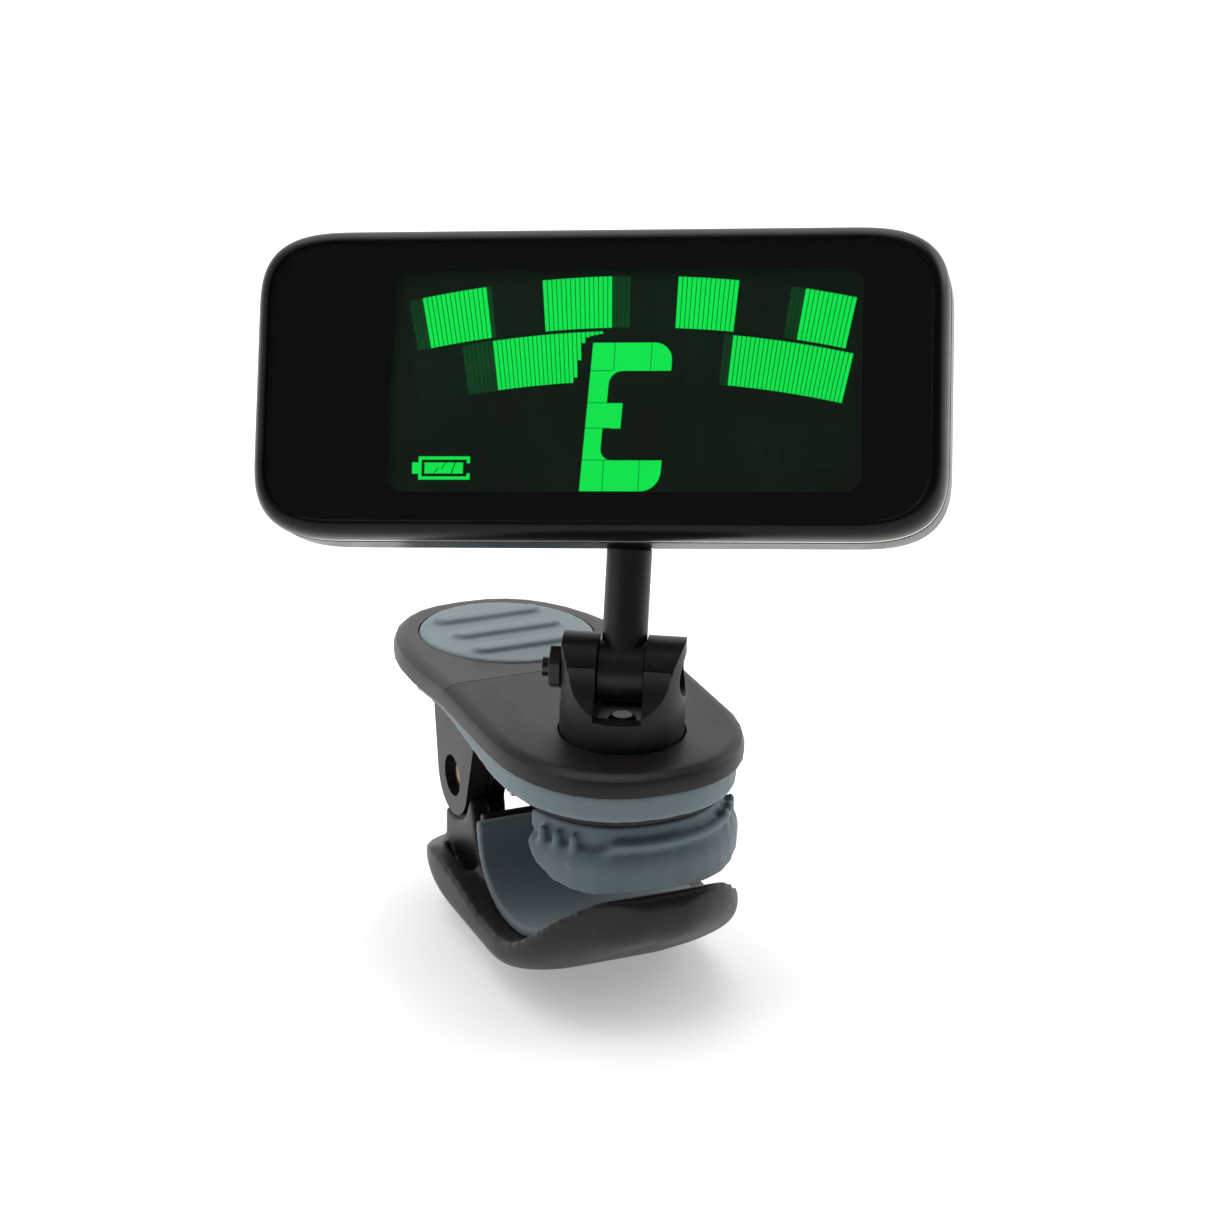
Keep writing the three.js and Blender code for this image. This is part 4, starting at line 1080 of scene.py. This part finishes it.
@dataclass
class Viewpoint:
    """Where the camera stands and what it aims at."""

    aim: tuple[float, float, float] = (0.22, -8.12, 39.96)
    turn: float = 23.5
    pitch: float = 21.7
    roll: float = -1.0
    distance: float = 346.0
    lens: float = 100.82

    def build(self) -> None:
        """Makes the camera."""
        turn, pitch, roll = (math.radians(v) for v in (self.turn, self.pitch, self.roll))
        across = Vector((math.cos(turn), -math.sin(turn), 0))
        ahead = Vector((math.sin(turn), math.cos(turn), 0))
        forward = ahead * math.cos(pitch) - Vector((0, 0, 1)) * math.sin(pitch)
        down = -(ahead * math.sin(pitch) + Vector((0, 0, 1)) * math.cos(pitch))
        right = across * math.cos(roll) + down * math.sin(roll)
        lower = down * math.cos(roll) - across * math.sin(roll)
        data = bpy.data.cameras.new("camera")
        data.lens, data.sensor_width = self.lens, 36.0
        data.clip_start, data.clip_end = 0.01, 20.0
        camera = bpy.data.objects.new("camera", data)
        axes = Matrix((right, -lower, -forward)).transposed().to_4x4()
        camera.matrix_world = Matrix.Translation((Vector(self.aim) - forward * self.distance) * MM) @ axes
        bpy.context.scene.collection.objects.link(camera)
        bpy.context.scene.camera = camera
        LOG.info("camera at %s", tuple(round(v, 4) for v in camera.location))


@dataclass
class Studio:
    """A pale floor under a bright soft room that is dim on the camera's side."""

    floor_size: float = 6.0
    floor_tone: float = 0.9
    floor_glow: float = 0.34
    room: float = 1.15
    dim: float = 0.05

    def build(self) -> None:
        """Makes the floor, the room's light and the lamps."""
        bm = bmesh.new()
        bmesh.ops.create_grid(bm, x_segments=2, y_segments=2, size=self.floor_size / 2)
        mesh = bpy.data.meshes.new("floor")
        bm.to_mesh(mesh)
        bm.free()
        floor = bpy.data.objects.new("floor", mesh)
        bpy.context.scene.collection.objects.link(floor)
        material = bpy.data.materials.new("floor_paper")
        material.use_nodes = True
        shader = material.node_tree.nodes["Principled BSDF"]
        shader.inputs["Base Color"].default_value = (self.floor_tone, self.floor_tone, self.floor_tone, 1)
        shader.inputs["Roughness"].default_value = 0.9
        shader.inputs["Specular IOR Level"].default_value = 0.1
        shader.inputs["Emission Color"].default_value = (1, 1, 1, 1)
        shader.inputs["Emission Strength"].default_value = self.floor_glow
        mesh.materials.append(material)
        self._room()
        self._lamp("top_softbox", (0.05, 0.3, 0.75), (0, 0, 0.03), 0.8, 3.5)
        self._lamp("right_softbox", (0.8, 0.05, 0.35), (0, 0, 0.05), 0.5, 1.5)
        bpy.context.scene.view_settings.view_transform = "Standard"

    def _room(self) -> None:
        """Lights the room: bright behind and above the tuner, dim where the camera is."""
        world = bpy.data.worlds.new("room")
        bpy.context.scene.world = world
        world.use_nodes = True
        tree = world.node_tree
        background = tree.nodes["Background"]
        ray = node(tree, "TexCoord").outputs["Generated"]
        along = node(tree, "SeparateXYZ", {0: ray}).outputs["Y"]
        level = ramp(tree, along, -0.45, 0.05, self.dim, self.room)
        tree.links.new(level, background.inputs["Strength"])
        background.inputs["Color"].default_value = (1, 1, 1, 1)

    @staticmethod
    def _lamp(name: str, place: tuple[float, float, float], aim: tuple[float, float, float], size: float,
              power: float) -> None:
        """Adds a square soft lamp.

        Args:
            name: the lamp's name.
            place: where it hangs, in metres.
            aim: what it points at.
            size: its side, in metres.
            power: its power, in watts.
        """
        data = bpy.data.lights.new(name, "AREA")
        data.size, data.energy = size, power
        lamp = bpy.data.objects.new(name, data)
        lamp.location = place
        lamp.rotation_mode = "QUATERNION"
        lamp.rotation_quaternion = (Vector(aim) - Vector(place)).to_track_quat("-Z", "Y")
        bpy.context.scene.collection.objects.link(lamp)


def main() -> None:
    """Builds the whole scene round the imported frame."""
    logging.basicConfig(level=logging.INFO, format="%(name)s %(message)s")
    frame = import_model()
    workshop = Workshop(frame, Palette())
    pose = Pose(workshop.joints)
    for assembly in (Viewpoint(), Studio(), Head(workshop, pose), Display(workshop, pose), NeckAndSwivel(workshop),
                     Lever(workshop), Jaw(workshop)):
        LOG.info("building %s", type(assembly).__name__)
        assembly.build()


if __name__ == "__main__":
    main()
